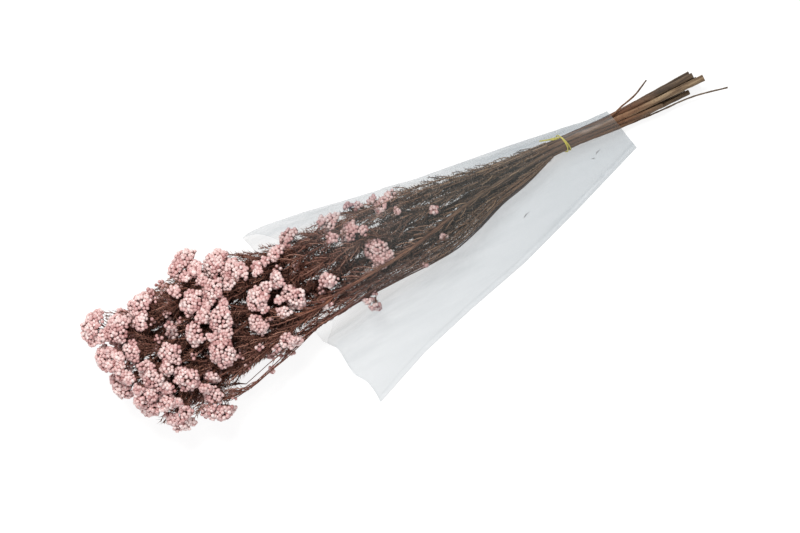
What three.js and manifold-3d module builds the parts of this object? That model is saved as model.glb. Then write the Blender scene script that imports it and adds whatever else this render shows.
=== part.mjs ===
// A tied bunch of preserved rice flower lying on its side in a clear tapered sleeve.
// Ten leafy stems run through a rubber band, fan out and carry domed heads of round buds.
// Millimetres, +Z up, +X towards the cut ends, the flower end at -X. The sleeve's underside lies at z = 0.
import * as THREE from "three";
import { ConvexHull } from "three/addons/math/ConvexHull.js";
import { mergeVertices } from "three/addons/utils/BufferGeometryUtils.js";
import Module from "manifold-3d";

// The band, and the stems' places in it: one in the middle and a ring round it
const BAND_X = 190;
const BAND_INNER_RADIUS = 8.42;
const BAND_WIRE_RADIUS = 0.95;
const BAND_LEAN = 0.28;
const BAND_SIDES = 5;
const BAND_STEPS = 22;
const BAND_TAIL = [
  [-2, 0, 0],
  [-8, 2, 0.6],
  [-15, 5.5, -0.8],
];
const RING_STEMS = 7;
const RING_RADIUS = 5.35;
const RING_START = 0.35;
const TWIG_RING_RADIUS = 7.15;
const TWIG_SLOTS = [0.5, 3.5];

// Stations through the bound stretch: x, how far the ring is spread, and how far it is turned
const STEM_LEAD = [
  [245, 1.12, 0.2],
  [218, 1.04, 0.05],
  [200, 1, 0],
  [184, 1, 0],
  [171, 1.02, 0],
];
const TWIG_LEAD = [
  [240, 1.28, 0.2],
  [218, 1.16, 0.05],
  [200, 1, 0],
  [184, 1, 0],
  [171, 1.02, 0],
];

// Radii of the wood: at the cut end, in the band and where the wood meets its head
const STEM_BAND_RADIUS = 2.1;
const MIDDLE_BAND_RADIUS = 2.8;
const STEM_TIP_RADIUS = 1.0;
const TWIG_RADIUS = 0.8;
const BRANCH_ROOT_RADIUS = 1.25;
const BRANCH_TIP_RADIUS = 0.8;
const STALK_ROOM = 1; // kept free for the last stretch under each head
const STEM_SIDES = 5;
const BRANCH_SIDES = 3;
const BARE_STEPS = 6;

// The outline of the bunch: x, the centre's y and z, half the width and half the height
const OUTLINE = [
  [345, 24.0, 11.9, 8.5, 8.5],
  [250, 25.5, 11.9, 8.5, 8.5],
  [190, 30.5, 11.9, 8.5, 8.5],
  [120, 31.0, 15.5, 17.0, 14.0],
  [30, 32.0, 26.5, 38.0, 24.0],
  [-95, 30.0, 34.5, 47.0, 32.0],
  [-180, 31.0, 42.0, 70.0, 40.0],
  [-300, 26.0, 43.5, 69.0, 41.5],
];

// Cut ends of the stems, in the order of the leading heads: x, radius
const CUT_ENDS = [
  [328, 2.9],
  [336, 3.3],
  [330, 2.8],
  [318, 2.4],
  [290, 2.3],
  [326, 2.9],
  [322, 2.7],
  [315, 2.6],
];
const SPLAY = 1.45;
const SPLAY_TURN = 0.5;
const TWIG_ENDS = [
  [287, 46, 25],
  [352, 4, 9],
];

// The heads: x, y, place between the bunch's underside (-1) and its top (1), and breadth.
// The first eight lead a stem each, and the next two a thin twig each.
const HEADS = [
  [-279, 81, 0.35, 36],
  [-262, 72, 0.95, 33],
  [-280, 25, 0.25, 32],
  [-250, -29, 0.05, 32],
  [-213, -38, 0.1, 34],
  [-179, 97, 0.05, 34],
  [-262, 62, -0.9, 31],
  [-258, 6, -0.9, 31],
  [11, 57, 0.6, 30],
  [-41, -20, 0.0, 17],
  [-149, 86, 0.9, 37],
  [-166, 62, 1.0, 27],
  [-188, 62, 0.95, 26],
  [-172, 34, 1.0, 29],
  [-184, 6, 1.0, 31],
  [-200, 33, 0.9, 23],
  [-232, 80, 0.55, 34],
  [-256, 46, 1.0, 30],
  [-283, 52, 0.3, 29],
  [-270, 0, 0.3, 29],
  [-229, 29, 1.0, 26],
  [-225, 1, 1.0, 28],
  [-254, 16, 1.0, 27],
  [-252, -7, 0.6, 24],
  [-206, -13, 0.6, 24],
  [-217, 48, 0.5, 25],
  [-119, 61, 0.8, 18],
  [-81, 74, 0.35, 24],
  [-96, 66, 0.8, 21],
  [-132, 36, 1.0, 26],
  [-107, 45, 1.0, 19],
  [-101, 21, 0.9, 28],
  [-143, 14, 0.9, 21],
  [-122, -11, 0.3, 24],
  [-66, 21, 0.9, 19],
  [-11, 20, 0.9, 32],
  [-30, 52, 0.85, 28],
  [-36, 71, 0.3, 24],
  [-222, 84, -0.8, 29],
  [-226, 34, -0.95, 31],
  [-224, -14, -0.8, 28],
  [-172, 62, -0.95, 30],
  [-166, 6, -0.95, 28],
  [-122, 38, -1.0, 27],
  [-76, 12, -0.9, 22],
  [-26, 46, -1.0, 24],
];
const LEADERS = 8;
const TWIGS = 2;
const HEAD_FRONT = 0.34; // depth of the dome before its rim, as a share of its breadth
const HEAD_BACK = 0.2; // and behind its rim
const BUD_PITCH = 8.5;
const LOWER_BUD_PITCH = 9.8; // on the heads of the underside
const BUD_RISE = 1.1;
const BUD_VALLEY = 1.5;
const BUD_SHOULDER = 1.55;
const HEAD_GAP = 2.8; // between two heads' bodies, so that their buds stay apart
const HEAD_FILM_GAP = 1.4;
const HEAD_STEP = 1; // the most that the film moves a head in one round
const BUD_LIMIT = 1.78; // how far from the dome's middle its buds reach, as an angle
const LEAST_BUDS = 7;
const BACK_RING = 5;
const BACK_RING_ANGLE = 2.35;

// How a line of wood finds its way: bows and nudges that are tried until it is clear of the rest
const GUIDE_SHARES = [0.2, 0.42, 0.64, 0.84];
const BOWS = [0, 0.1, 0.2, 0.32, 0.46, 0.62];
const BOW_TURNS = 8;
const NUDGES = 200;
const NUDGED_STARTS = 6;
const WOOD_ROOM = 0.08;
const OUTLINE_LIMIT = 0.94;
const FORKS_TRIED = 6;
const FORK_RUN = 45; // how far behind a head its branch leaves the stem, at least
const FORK_SLOPE = 0.55;

// Leaves
const NEEDLE_LENGTH = 12;
const NEEDLE_WIDTH = 1.5;
const NEEDLE_LEAN = 0.62;
const STEM_WHORL = 28;
const BRANCH_WHORL = 21;
const WHORL_LEAVES = 3;
const WHORL_TURN = 0.45;
const LAST_WHORL = 7; // from the last whorl to the wood's end
const FIRST_LEAF = [18, 6]; // from the band on a stem, and from the fork on a branch
const LEAF_BOUND = 1.12; // how far leaves reach out, against the bunch's outline

// The sleeve: film, and the straight edges of its flattened outline
const FILM = 0.5;
const FLAP_GAP = 0.7;
const SLEEVE_SKEW = 0.21;
const SLEEVE_SKEW_Y = 28;
const SLEEVE_NARROW_X = 243;
const SLEEVE_MOUTH_X = -105;
const SLEEVE_UPPER = [38.5, 91];
const SLEEVE_LOWER = [-5.5, -104.5];
const SLEEVE_STATIONS = 13;
const MOUTH_RECESS = 34; // how far the top of the mouth is drawn back from its flat underside
const SLEEVE_CLEAR = 2.2;
const DRAPE_REACH = 1.28; // where the film comes down beside the bunch, against the bunch's half width
const DRAPE_START = 0.62;
const FLAP_SHARES = [1, 0.82, 0.62, 0.42, 0.25, 0.12];
const CROWN_SHARES = [0.45, 0.75, 0.93];
const CROWN_POWER = 2.3;
const HEEL_SHARES = [0.96, 0.85, 0.7];
const FLAT_SHARE = 0.62;

const GAP = 0.35; // what neighbouring pieces stay apart
const SEED = 20461;
const GOLDEN_ANGLE = Math.PI * (3 - Math.sqrt(5));

// Repeatable numbers from 0 to 1
function randomFrom(seed) {
  let state = seed >>> 0;
  return () => {
    state = (Math.imul(state, 1664525) + 1013904223) >>> 0;
    return state / 4294967296;
  };
}

function mix(a, b, t) {
  return a + (b - a) * t;
}

function clamp(x, low, high) {
  return Math.min(high, Math.max(low, x));
}

function smooth(t) {
  return t * t * (3 - 2 * t);
}

const random = randomFrom(SEED);

// The bunch's outline at x
function outlineAt(x) {
  let k = 0;
  while (k < OUTLINE.length - 2 && x < OUTLINE[k + 1][0]) k += 1;
  const a = OUTLINE[k];
  const b = OUTLINE[k + 1];
  const t = clamp((a[0] - x) / (a[0] - b[0]), 0, 1);
  return { y: mix(a[1], b[1], t), z: mix(a[2], b[2], t), w: mix(a[3], b[3], t), h: mix(a[4], b[4], t) };
}

// A point of the bunch from its place in the outline, where (1, 0) and (0, 1) lie on the outline
function inBunch(x, across, up) {
  const o = outlineAt(x);
  return new THREE.Vector3(x, o.y + across * o.w, o.z + up * o.h);
}

function placeInOutline(p) {
  const o = outlineAt(p.x);
  return [(p.y - o.y) / o.w, (p.z - o.z) / o.h];
}

function withinOutline(share) {
  return clamp(share, -OUTLINE_LIMIT, OUTLINE_LIMIT);
}

// A smooth line through points, with some steps in each span
function smoothLine(points, steps) {
  const n = points.length;
  const line = [];
  const before = points[0].clone().multiplyScalar(2).sub(points[1]);
  const after = points[n - 1].clone().multiplyScalar(2).sub(points[n - 2]);
  const all = [before, ...points, after];
  for (let i = 1; i < n; i += 1) {
    const [a, b, c, d] = [all[i - 1], all[i], all[i + 1], all[i + 2]];
    for (let j = 0; j < steps; j += 1) {
      const t = j / steps;
      const p = new THREE.Vector3();
      for (const axis of ["x", "y", "z"]) {
        const slopeB = (c[axis] - a[axis]) / 2;
        const slopeC = (d[axis] - b[axis]) / 2;
        const h1 = 2 * t ** 3 - 3 * t ** 2 + 1;
        const h2 = t ** 3 - 2 * t ** 2 + t;
        const h3 = 3 * t ** 2 - 2 * t ** 3;
        const h4 = t ** 3 - t ** 2;
        p[axis] = h1 * b[axis] + h2 * slopeB + h3 * c[axis] + h4 * slopeC;
      }
      line.push(p);
    }
  }
  line.push(points[n - 1].clone());
  return line;
}

// The shortest way to the segment a-b from the segment c-d
function segmentGap(a, b, c, d) {
  const u = b.clone().sub(a);
  const v = d.clone().sub(c);
  const w = a.clone().sub(c);
  const uu = u.dot(u);
  const uv = u.dot(v);
  const vv = v.dot(v);
  const uw = u.dot(w);
  const vw = v.dot(w);
  const det = uu * vv - uv * uv;
  let s = det > 1e-9 ? clamp((uv * vw - vv * uw) / det, 0, 1) : 0;
  let t = vv > 1e-9 ? (uv * s + vw) / vv : 0;
  t = clamp(t, 0, 1);
  s = uu > 1e-9 ? clamp((uv * t - uw) / uu, 0, 1) : 0;
  return w.addScaledVector(u, s).addScaledVector(v, -t);
}

function segmentDistance(a, b, c, d) {
  return segmentGap(a, b, c, d).length();
}

// Directions all round a point
const DIRECTIONS = 40;
const AROUND = Array.from({ length: DIRECTIONS }, (_, n) => {
  const z = 1 - (2 * n + 1) / DIRECTIONS;
  const flat = Math.sqrt(1 - z * z);
  return new THREE.Vector3(flat * Math.cos(n * GOLDEN_ANGLE), flat * Math.sin(n * GOLDEN_ANGLE), z);
});

// Heads: where each sits, which way its dome faces, and how big it is
function headPlaces() {
  const heads = HEADS.map(([x, y, level, breadth], index) => {
    const half = breadth / 2;
    const o = outlineAt(x);
    const reach = clamp((y - o.y) / (o.w - 0.4 * half), -0.95, 0.95);
    const rise = (o.h - 0.55 * half) * Math.sqrt(1 - reach * reach);
    return {
      index,
      half,
      front: HEAD_FRONT * breadth,
      back: HEAD_BACK * breadth,
      lower: level < -0.5,
      centre: new THREE.Vector3(x, y, o.z + level * rise),
    };
  });
  for (const rounds of [80, 100]) {
    heads.forEach(faceOutwards);
    settle(heads, rounds);
  }
  return heads;
}

// Moves the heads apart and into the film, a little in each round
function settle(heads, rounds) {
  for (let round = 0; round < rounds; round += 1) {
    for (let i = 0; i < heads.length; i += 1) {
      for (let j = i + 1; j < heads.length; j += 1) pushApart(heads[i], heads[j]);
    }
    heads.forEach(keepInside);
  }
}

// A dome faces the way its stem grows, and away from the middle of the bunch
function faceOutwards(head) {
  const root = inBunch(Math.min(head.centre.x + 150, 120), 0, 0);
  const growth = head.centre.clone().sub(root).normalize();
  const [across, up] = placeInOutline(head.centre);
  const outward = 0.55 + 0.95 * clamp((head.centre.x + 275) / 90, 0, 1);
  head.axis = growth.add(new THREE.Vector3(0, across * outward, up * outward)).normalize();
}

// How far a head reaches from its centre in a direction
function reachOf(head, direction) {
  const along = direction.dot(head.axis);
  const depth = along > 0 ? head.front : head.back;
  const side = Math.sqrt(Math.max(0, 1 - along * along));
  return 1 / Math.sqrt((along / depth) ** 2 + (side / head.half) ** 2);
}

function pushApart(a, b) {
  const d = b.centre.clone().sub(a.centre);
  const distance = Math.max(d.length(), 1e-6);
  if (distance > a.half + b.half + 2 * HEAD_GAP) return;
  d.divideScalar(distance);
  let push = 0.3 * (reachOf(a, d) + reachOf(b, d.clone().negate()) + HEAD_GAP - distance);
  for (const direction of AROUND) {
    const p = a.centre.clone().addScaledVector(direction, reachOf(a, direction) + HEAD_GAP / 2);
    push = Math.max(push, 0.5 * b.back * (1 - insideHead(b, p, HEAD_GAP / 2)));
  }
  if (push <= 0) return;
  a.centre.addScaledVector(d, -push);
  b.centre.addScaledVector(d, push);
}

// Keeps a head inside the film, and above the surface beyond it
function keepInside(head) {
  const depth = head.axis.z > 0 ? head.back : head.front;
  const drop = Math.hypot(depth * head.axis.z, head.half * Math.hypot(head.axis.x, head.axis.y));
  head.centre.z = Math.max(head.centre.z, drop + BUD_RISE + 0.1);
  for (const direction of AROUND) {
    const p = head.centre.clone().addScaledVector(direction, reachOf(head, direction) + BUD_RISE);
    const room = filmRoom(p) - HEAD_FILM_GAP;
    if (room >= 0) continue;
    const o = outlineAt(p.x);
    const inward = new THREE.Vector3(0, o.y - p.y, o.z - p.z).normalize();
    head.centre.addScaledVector(inward, Math.min(HEAD_STEP, -room));
  }
}

// A point's place against a head grown by some margin: under 1 is inside
function insideHead(head, p, margin) {
  const d = p.clone().sub(head.centre);
  const along = d.dot(head.axis);
  const side = Math.sqrt(Math.max(0, d.lengthSq() - along * along));
  const depth = (along > 0 ? head.front : head.back) + margin;
  return Math.hypot(along / depth, side / (head.half + margin));
}

// The last stretch of the wood under a head, which ends just short of the head's back
function stalkOf(head) {
  const tip = head.centre.clone().addScaledVector(head.axis, -(head.back + GAP));
  return [tip.clone().addScaledVector(head.axis, -0.55 * head.half - 5), tip];
}

// A line from a start in the bunch to a head, bowed and nudged sideways just enough to pass clear of the rest
function routeTo(head, lead, from, laid, heads, stem, radius) {
  const [a0, u0] = placeInOutline(from);
  const [near, tip] = stalkOf(head);
  const [a1, u1] = placeInOutline(near);
  const through = (between) => {
    const points = smoothLine([...lead, from, ...between, near, tip], 3);
    return { points, between, ...clearanceOf(points, 3 * lead.length + 1, radius, laid, heads, head, stem) };
  };
  const tries = [];
  for (const bow of BOWS) {
    for (let turn = 0; turn < (bow ? BOW_TURNS : 1); turn += 1) {
      const angle = (2 * Math.PI * turn) / BOW_TURNS;
      const guides = GUIDE_SHARES.map((s) => {
        const out = bow * Math.sin(Math.PI * s);
        const across = mix(a0, a1, smooth(s)) + out * Math.cos(angle);
        const up = mix(u0, u1, smooth(s)) + out * Math.sin(angle);
        return inBunch(mix(from.x, near.x, s), withinOutline(across), withinOutline(up));
      });
      const tried = through(guides);
      if (tried.free > WOOD_ROOM) return tried;
      tries.push(tried);
    }
  }
  tries.sort((p, q) => q.free - p.free);
  let best = tries[0];
  for (let start = 0; start < NUDGED_STARTS && best.free < WOOD_ROOM; start += 1) {
    const found = nudged(tries[start], through);
    if (found.free > best.free) best = found;
  }
  return best;
}

// Moves a line's guide points away from what it comes nearest to, step by step
function nudged(start, through) {
  let best = start;
  for (let n = 0; n < NUDGES && best.free < WOOD_ROOM; n += 1) {
    const between = best.between.map((p) => p.clone());
    let k = 0;
    between.forEach((p, i) => {
      if (Math.abs(p.x - best.at.x) < Math.abs(between[k].x - best.at.x)) k = i;
    });
    if (random() < 0.3) k = Math.floor(random() * between.length);
    const step = (WOOD_ROOM + 0.4 - best.free) * (0.4 + 1.4 * random());
    const stray = new THREE.Vector3(0, random() - 0.5, random() - 0.5);
    stray.multiplyScalar(3 * random() * (1 + step));
    between[k].addScaledVector(best.away, step).add(stray);
    const [across, up] = placeInOutline(between[k]);
    if (Math.abs(across) > OUTLINE_LIMIT || Math.abs(up) > OUTLINE_LIMIT) continue;
    const tried = through(between);
    if (tried.free > best.free) best = tried;
  }
  return best;
}

// How far a line stays clear of other heads, other wood and the film, where that is least, and the way out
function clearanceOf(points, first, radius, laid, heads, own, stem) {
  let free = 5;
  let at = points[0];
  let away = new THREE.Vector3();
  const last = points.length - 1;
  for (let i = Math.max(1, first); i <= last; i += 1) {
    const middle = points[i].clone().add(points[i - 1]).multiplyScalar(0.5);
    for (const p of i === last ? [middle] : [middle, points[i]]) {
      for (const head of heads) {
        if (head === own && i > last - 3) continue;
        const depth = (insideHead(head, p, radius + BUD_RISE + GAP) - 1) * head.back;
        if (depth >= free) continue;
        free = depth;
        at = p;
        away = p.clone().sub(head.centre).setX(0).normalize();
      }
      const o = outlineAt(p.x);
      const inside = Math.hypot((p.y - o.y) / o.w, (p.z - o.z) / o.h) < 0.75 ? 5 : filmRoom(p) - radius - GAP;
      if (inside < free) {
        free = inside;
        at = p;
        away = new THREE.Vector3(0, o.y - p.y, o.z - p.z).normalize();
      }
    }
    for (const line of laid) {
      if (line.stem === stem || line.head === own.index) continue;
      for (let j = 1; j < line.points.length; j += 1) {
        const between = segmentGap(points[i - 1], points[i], line.points[j - 1], line.points[j]);
        const apart = between.length() - radius - line.radius - GAP;
        if (apart >= free) continue;
        free = apart;
        at = points[i];
        away = between.setX(0).normalize();
      }
    }
  }
  return { free, at, away };
}

function ringAngle(slot) {
  return RING_START + (2 * Math.PI * slot) / RING_STEMS;
}

// The place of a ring stem in the band, and of a twig in a notch between two of them
function ringPlace(slot, radius, x, spread, turn) {
  const angle = ringAngle(slot) + turn;
  const o = outlineAt(x);
  const y = o.y + spread * radius * Math.cos(angle);
  const z = o.z + spread * radius * Math.sin(angle);
  return new THREE.Vector3(x, y, z);
}

// The way through the bound stretch, from the sleeve's narrow end to just past the band
function leadPoints(slot, radius, steps) {
  return steps.map(([x, spread, turn]) => ringPlace(slot, radius, x, spread, turn));
}

// Each leading head's stem takes the free place in the band that lies nearest its bearing
function slotsFor(leaders) {
  const bearings = leaders.map((head) => placeInOutline(head.centre));
  const offAxis = bearings.map((b) => Math.hypot(...b));
  const middle = offAxis.indexOf(Math.min(...offAxis));
  const outer = leaders.map((_, i) => i).filter((i) => i !== middle);
  const angle = (i) => Math.atan2(bearings[i][1], bearings[i][0]);
  outer.sort((i, j) => angle(i) - angle(j));
  let best = null;
  for (let shift = 0; shift < RING_STEMS; shift += 1) {
    let cost = 0;
    outer.forEach((i, k) => {
      cost += 1 - Math.cos(angle(i) - ringAngle(k + shift));
    });
    if (!best || cost < best.cost) best = { cost, shift };
  }
  const slots = new Array(leaders.length).fill(-1);
  outer.forEach((i, k) => {
    slots[i] = k + best.shift;
  });
  return slots;
}

// Lays every twig, stem and branch as a line
function layWood(heads) {
  const stalk = { stem: -1, radius: STALK_ROOM, kind: "stalk" };
  const laid = heads.map((head) => ({ ...stalk, points: stalkOf(head), head: head.index }));
  for (let k = 0; k < TWIGS; k += 1) {
    const i = LEADERS + k;
    const slot = TWIG_SLOTS[k];
    const end = new THREE.Vector3(...TWIG_ENDS[k]);
    const through = leadPoints(slot, TWIG_RING_RADIUS, TWIG_LEAD);
    const from = through.pop();
    const { points } = routeTo(heads[i], [end, ...through], from, laid, heads, i, TWIG_RADIUS);
    laid.push({ stem: i, points, radius: TWIG_RADIUS, kind: "twig", head: i });
  }
  const slots = slotsFor(heads.slice(0, LEADERS));
  const stems = [];
  for (let i = 0; i < LEADERS; i += 1) {
    const middle = slots[i] < 0;
    const off = middle ? 0 : RING_RADIUS;
    const radius = middle ? MIDDLE_BAND_RADIUS : STEM_BAND_RADIUS;
    const end = ringPlace(slots[i], off, CUT_ENDS[i][0], SPLAY, SPLAY_TURN);
    const through = leadPoints(slots[i], off, STEM_LEAD);
    const from = through.pop();
    const { points } = routeTo(heads[i], [end, ...through], from, laid, heads, i, radius);
    stems.push({ stem: i, points, radius, kind: "stem", head: i, turn: Math.PI / 2 - ringAngle(slots[i]) });
    laid.push(stems[i]);
  }
  const carried = new Array(LEADERS).fill(0);
  for (let h = LEADERS + TWIGS; h < heads.length; h += 1) layBranch(heads[h], heads, laid, stems, carried);
  return laid;
}

// A branch leaves a stem that passes near its head, and rather one that doesn't carry many already
function layBranch(head, heads, laid, stems, carried) {
  const behind = Math.min(head.centre.x + FORK_RUN + 1.2 * head.half, BAND_X - 30);
  const forks = [];
  for (let i = 0; i < LEADERS; i += 1) {
    for (let j = 0; j < stems[i].points.length - 6; j += 1) {
      const p = stems[i].points[j];
      if (p.x > BAND_X - 25 || p.x < behind) continue;
      const side = Math.hypot(p.y - head.centre.y, p.z - head.centre.z);
      const run = p.x - head.centre.x;
      if (side < FORK_SLOPE * run) forks.push({ cost: 0.45 * run + side + 7 * carried[i], i, j });
    }
  }
  forks.sort((a, b) => a.cost - b.cost);
  let best = null;
  for (let n = 0; n < forks.length && n < 3 * FORKS_TRIED; n += 3) {
    const { i, j } = forks[n];
    const found = routeTo(head, [], stems[i].points[j].clone(), laid, heads, i, BRANCH_ROOT_RADIUS);
    if (!best || found.free > best.free) best = { ...found, i };
    if (best.free > WOOD_ROOM) break;
  }
  carried[best.i] += 1;
  const { i: stem, points } = best;
  laid.push({ stem, points, radius: BRANCH_ROOT_RADIUS, kind: "branch", head: head.index });
}

// Directions across a line at each of its points, carried along it without twisting
function framesOf(points) {
  const frames = [];
  let across = new THREE.Vector3(0, 0, 1);
  points.forEach((p, i) => {
    const ahead = points[Math.min(i + 1, points.length - 1)];
    const behind = points[Math.max(i - 1, 0)];
    const along = ahead.clone().sub(behind).normalize();
    across = across.clone().addScaledVector(along, -across.dot(along)).normalize();
    frames.push({ along, across, other: along.clone().cross(across) });
  });
  return frames;
}

// A resampled line: the point and frame at a length along it
function walker(points) {
  const frames = framesOf(points);
  const at = [0];
  for (let i = 1; i < points.length; i += 1) at.push(at[i - 1] + points[i].distanceTo(points[i - 1]));
  const total = at[at.length - 1];
  const walk = (s) => {
    let k = 0;
    while (k < points.length - 2 && at[k + 1] < s) k += 1;
    const t = clamp((s - at[k]) / (at[k + 1] - at[k]), 0, 1);
    const along = frames[k].along.clone().lerp(frames[k + 1].along, t).normalize();
    const across = frames[k].across.clone().lerp(frames[k + 1].across, t);
    across.addScaledVector(along, -across.dot(along)).normalize();
    const other = along.clone().cross(across);
    return { p: points[k].clone().lerp(points[k + 1], t), along, across, other };
  };
  return { total, walk };
}

// A closed tube of rings along a line. Rings that come in close pairs carry leaves on some of their sides.
function leafyTube(line, sides, radiusAt, rings, leafClear) {
  const { walk } = walker(line);
  const positions = [];
  const faces = [];
  const add = (v) => positions.push(v) - 1;
  const starts = rings.map((ring) => {
    const f = walk(ring.s);
    const r = radiusAt(ring.s);
    const first = positions.length;
    for (let i = 0; i < sides; i += 1) {
      const a = ring.turn + (2 * Math.PI * i) / sides;
      add(f.p.clone().addScaledVector(f.across, r * Math.cos(a)).addScaledVector(f.other, r * Math.sin(a)));
    }
    return first;
  });
  for (let k = 1; k < rings.length; k += 1) {
    for (let i = 0; i < sides; i += 1) {
      const a = starts[k - 1] + i;
      const b = starts[k - 1] + ((i + 1) % sides);
      const c = starts[k] + ((i + 1) % sides);
      const d = starts[k] + i;
      let apex = null;
      if (rings[k].leaves && rings[k].leaves.includes(i)) {
        const corners = [a, b, c, d].map((n) => positions[n]);
        apex = leafTip(corners, walk(rings[k].s), rings[k], leafClear);
      }
      if (apex) {
        const t = add(apex);
        faces.push([a, b, t], [b, c, t], [c, d, t], [d, a, t]);
      } else {
        faces.push([a, b, c], [a, c, d]);
      }
    }
  }
  const last = starts[starts.length - 1];
  for (let i = 1; i < sides - 1; i += 1) {
    faces.push([starts[0], starts[0] + i + 1, starts[0] + i]);
    faces.push([last, last + i, last + i + 1]);
  }
  return geometryOf(positions, faces);
}

// Lengths and leans tried for a leaf, as shares
const LEAF_TRIES = [
  [1, 1],
  [1, 0.6],
  [0.75, 1],
  [0.75, 0.5],
  [0.5, 0.8],
];

// The tip of a leaf raised from one facet, drawn in until it is clear, or nothing
function leafTip(corners, frame, ring, leafClear) {
  const root = corners.reduce((sum, v) => sum.add(v), new THREE.Vector3()).divideScalar(corners.length);
  const out = root.clone().sub(frame.p);
  out.addScaledVector(frame.along, -out.dot(frame.along)).normalize();
  for (const [share, lean] of LEAF_TRIES) {
    const tip = root.clone();
    const angle = NEEDLE_LEAN * lean * ring.open;
    tip.addScaledVector(frame.along, ring.length * share * Math.cos(angle));
    tip.addScaledVector(out, ring.length * share * Math.sin(angle));
    if (leafClear(root, tip)) return tip;
  }
  return null;
}

// Rings of a bare stretch and then of a leafy one with a pair of rings at each whorl
function ringsAlong(total, bareSteps, leafFrom, whorl, sides, start) {
  const leafTo = total - LAST_WHORL;
  const rings = [];
  for (let i = 0; i < bareSteps; i += 1) rings.push({ s: (leafFrom * i) / bareSteps, turn: start });
  const whorls = Math.max(1, Math.round((leafTo - leafFrom) / whorl));
  let turn = start;
  for (let i = 0; i <= whorls; i += 1) {
    const s = leafFrom + ((leafTo - leafFrom) * i) / whorls;
    const first = Math.floor(random() * sides);
    const step = sides / WHORL_LEAVES;
    const leaves = Array.from({ length: WHORL_LEAVES }, (_, k) => (first + Math.round(k * step)) % sides);
    rings.push({ s, turn });
    const length = NEEDLE_LENGTH * (0.8 + 0.35 * random());
    rings.push({ s: s + NEEDLE_WIDTH, turn, leaves, length, open: 0.8 + 0.5 * random() });
    turn += WHORL_TURN;
  }
  rings.push({ s: total, turn });
  return rings;
}

function geometryOf(positions, faces) {
  const flat = new Float32Array(positions.length * 3);
  positions.forEach((p, i) => flat.set([p.x, p.y, p.z], 3 * i));
  const geometry = new THREE.BufferGeometry();
  geometry.setAttribute("position", new THREE.BufferAttribute(flat, 3));
  geometry.setIndex(faces.flat());
  return geometry;
}

const wasm = await Module();
wasm.setup();

function solidOf(geometry) {
  const bare = geometry.clone();
  bare.deleteAttribute("normal");
  bare.deleteAttribute("uv");
  const merged = mergeVertices(bare, 1e-4);
  const mesh = new wasm.Mesh({
    numProp: 3,
    vertProperties: new Float32Array(merged.attributes.position.array),
    triVerts: new Uint32Array(merged.index.array),
  });
  return new wasm.Manifold(mesh);
}

function geometryFrom(solid) {
  const mesh = solid.getMesh();
  const geometry = new THREE.BufferGeometry();
  geometry.setAttribute("position", new THREE.BufferAttribute(new Float32Array(mesh.vertProperties), 3));
  geometry.setIndex(Array.from(mesh.triVerts));
  return geometry;
}

// Joins solids that grow from each other, and leaves out any speck that the joining makes
function joined(geometries) {
  const sum = geometries.map(solidOf).reduce((all, solid) => all.add(solid));
  return geometryFrom(sum.decompose().reduce((a, b) => (b.volume() > a.volume() ? b : a)));
}

// A domed head: round buds raised from a squat body, with a plain back where the stalks enter
function headGeometry(head) {
  const e1 = new THREE.Vector3(0, 0, 1).cross(head.axis);
  if (e1.length() < 1e-3) e1.set(1, 0, 0);
  e1.normalize();
  const e2 = head.axis.clone().cross(e1);
  const place = ({ polar, turn }) => {
    const depth = polar < Math.PI / 2 ? head.front : head.back;
    const side = Math.sin(polar) * head.half;
    return head.centre
      .clone()
      .addScaledVector(e1, side * Math.cos(turn))
      .addScaledVector(e2, side * Math.sin(turn))
      .addScaledVector(head.axis, Math.cos(polar) * depth);
  };
  const plain = [{ polar: Math.PI, turn: 0 }];
  for (let i = 0; i < BACK_RING; i += 1) {
    plain.push({ polar: BACK_RING_ANGLE, turn: (2 * Math.PI * i) / BACK_RING });
  }
  const spots = [
    ...budAngles(head).map((b) => ({ bud: true, p: place(b) })),
    ...plain.map((b) => ({ bud: false, p: place(b) })),
  ];
  const triangles = hullTriangles(spots.map((s) => s.p));
  const positions = spots.map((s) => s.p.clone());
  const faces = [];
  const valley = triangles.map((t) => {
    if (!t.some((i) => spots[i].bud)) return -1;
    const middle = new THREE.Vector3();
    t.forEach((i) => middle.add(spots[i].p));
    middle.divideScalar(3);
    const inward = head.centre.clone().sub(middle).normalize();
    return positions.push(middle.addScaledVector(inward, BUD_VALLEY)) - 1;
  });
  const wing = new Map();
  triangles.forEach((t, n) => t.forEach((i, k) => wing.set(i + "," + t[(k + 1) % 3], n)));
  triangles.forEach((t, n) => {
    if (valley[n] < 0) faces.push([...t]);
    t.forEach((i, k) => {
      const j = t[(k + 1) % 3];
      if (valley[n] >= 0 && !spots[i].bud && !spots[j].bud) faces.push([i, j, valley[n]]);
    });
  });
  spots.forEach((spot, i) => {
    const ring = ringOfTriangles(i, triangles, wing);
    if (!spot.bud) {
      ring.forEach((n, k) => {
        const next = ring[(k + 1) % ring.length];
        const shared = triangles[n].find((v) => v !== i && triangles[next].includes(v));
        if (spots[shared].bud) faces.push([i, valley[n], valley[next]]);
      });
      return;
    }
    const low = ring.map((n) => valley[n]);
    const shoulders = shoulderOf(spot, positions[low[0]], head);
    const first = positions.length;
    positions.push(...shoulders.points);
    stitch(low, shoulders, first, positions, faces);
  });
  return geometryFrom(solidOf(compact(positions, faces)));
}

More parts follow.
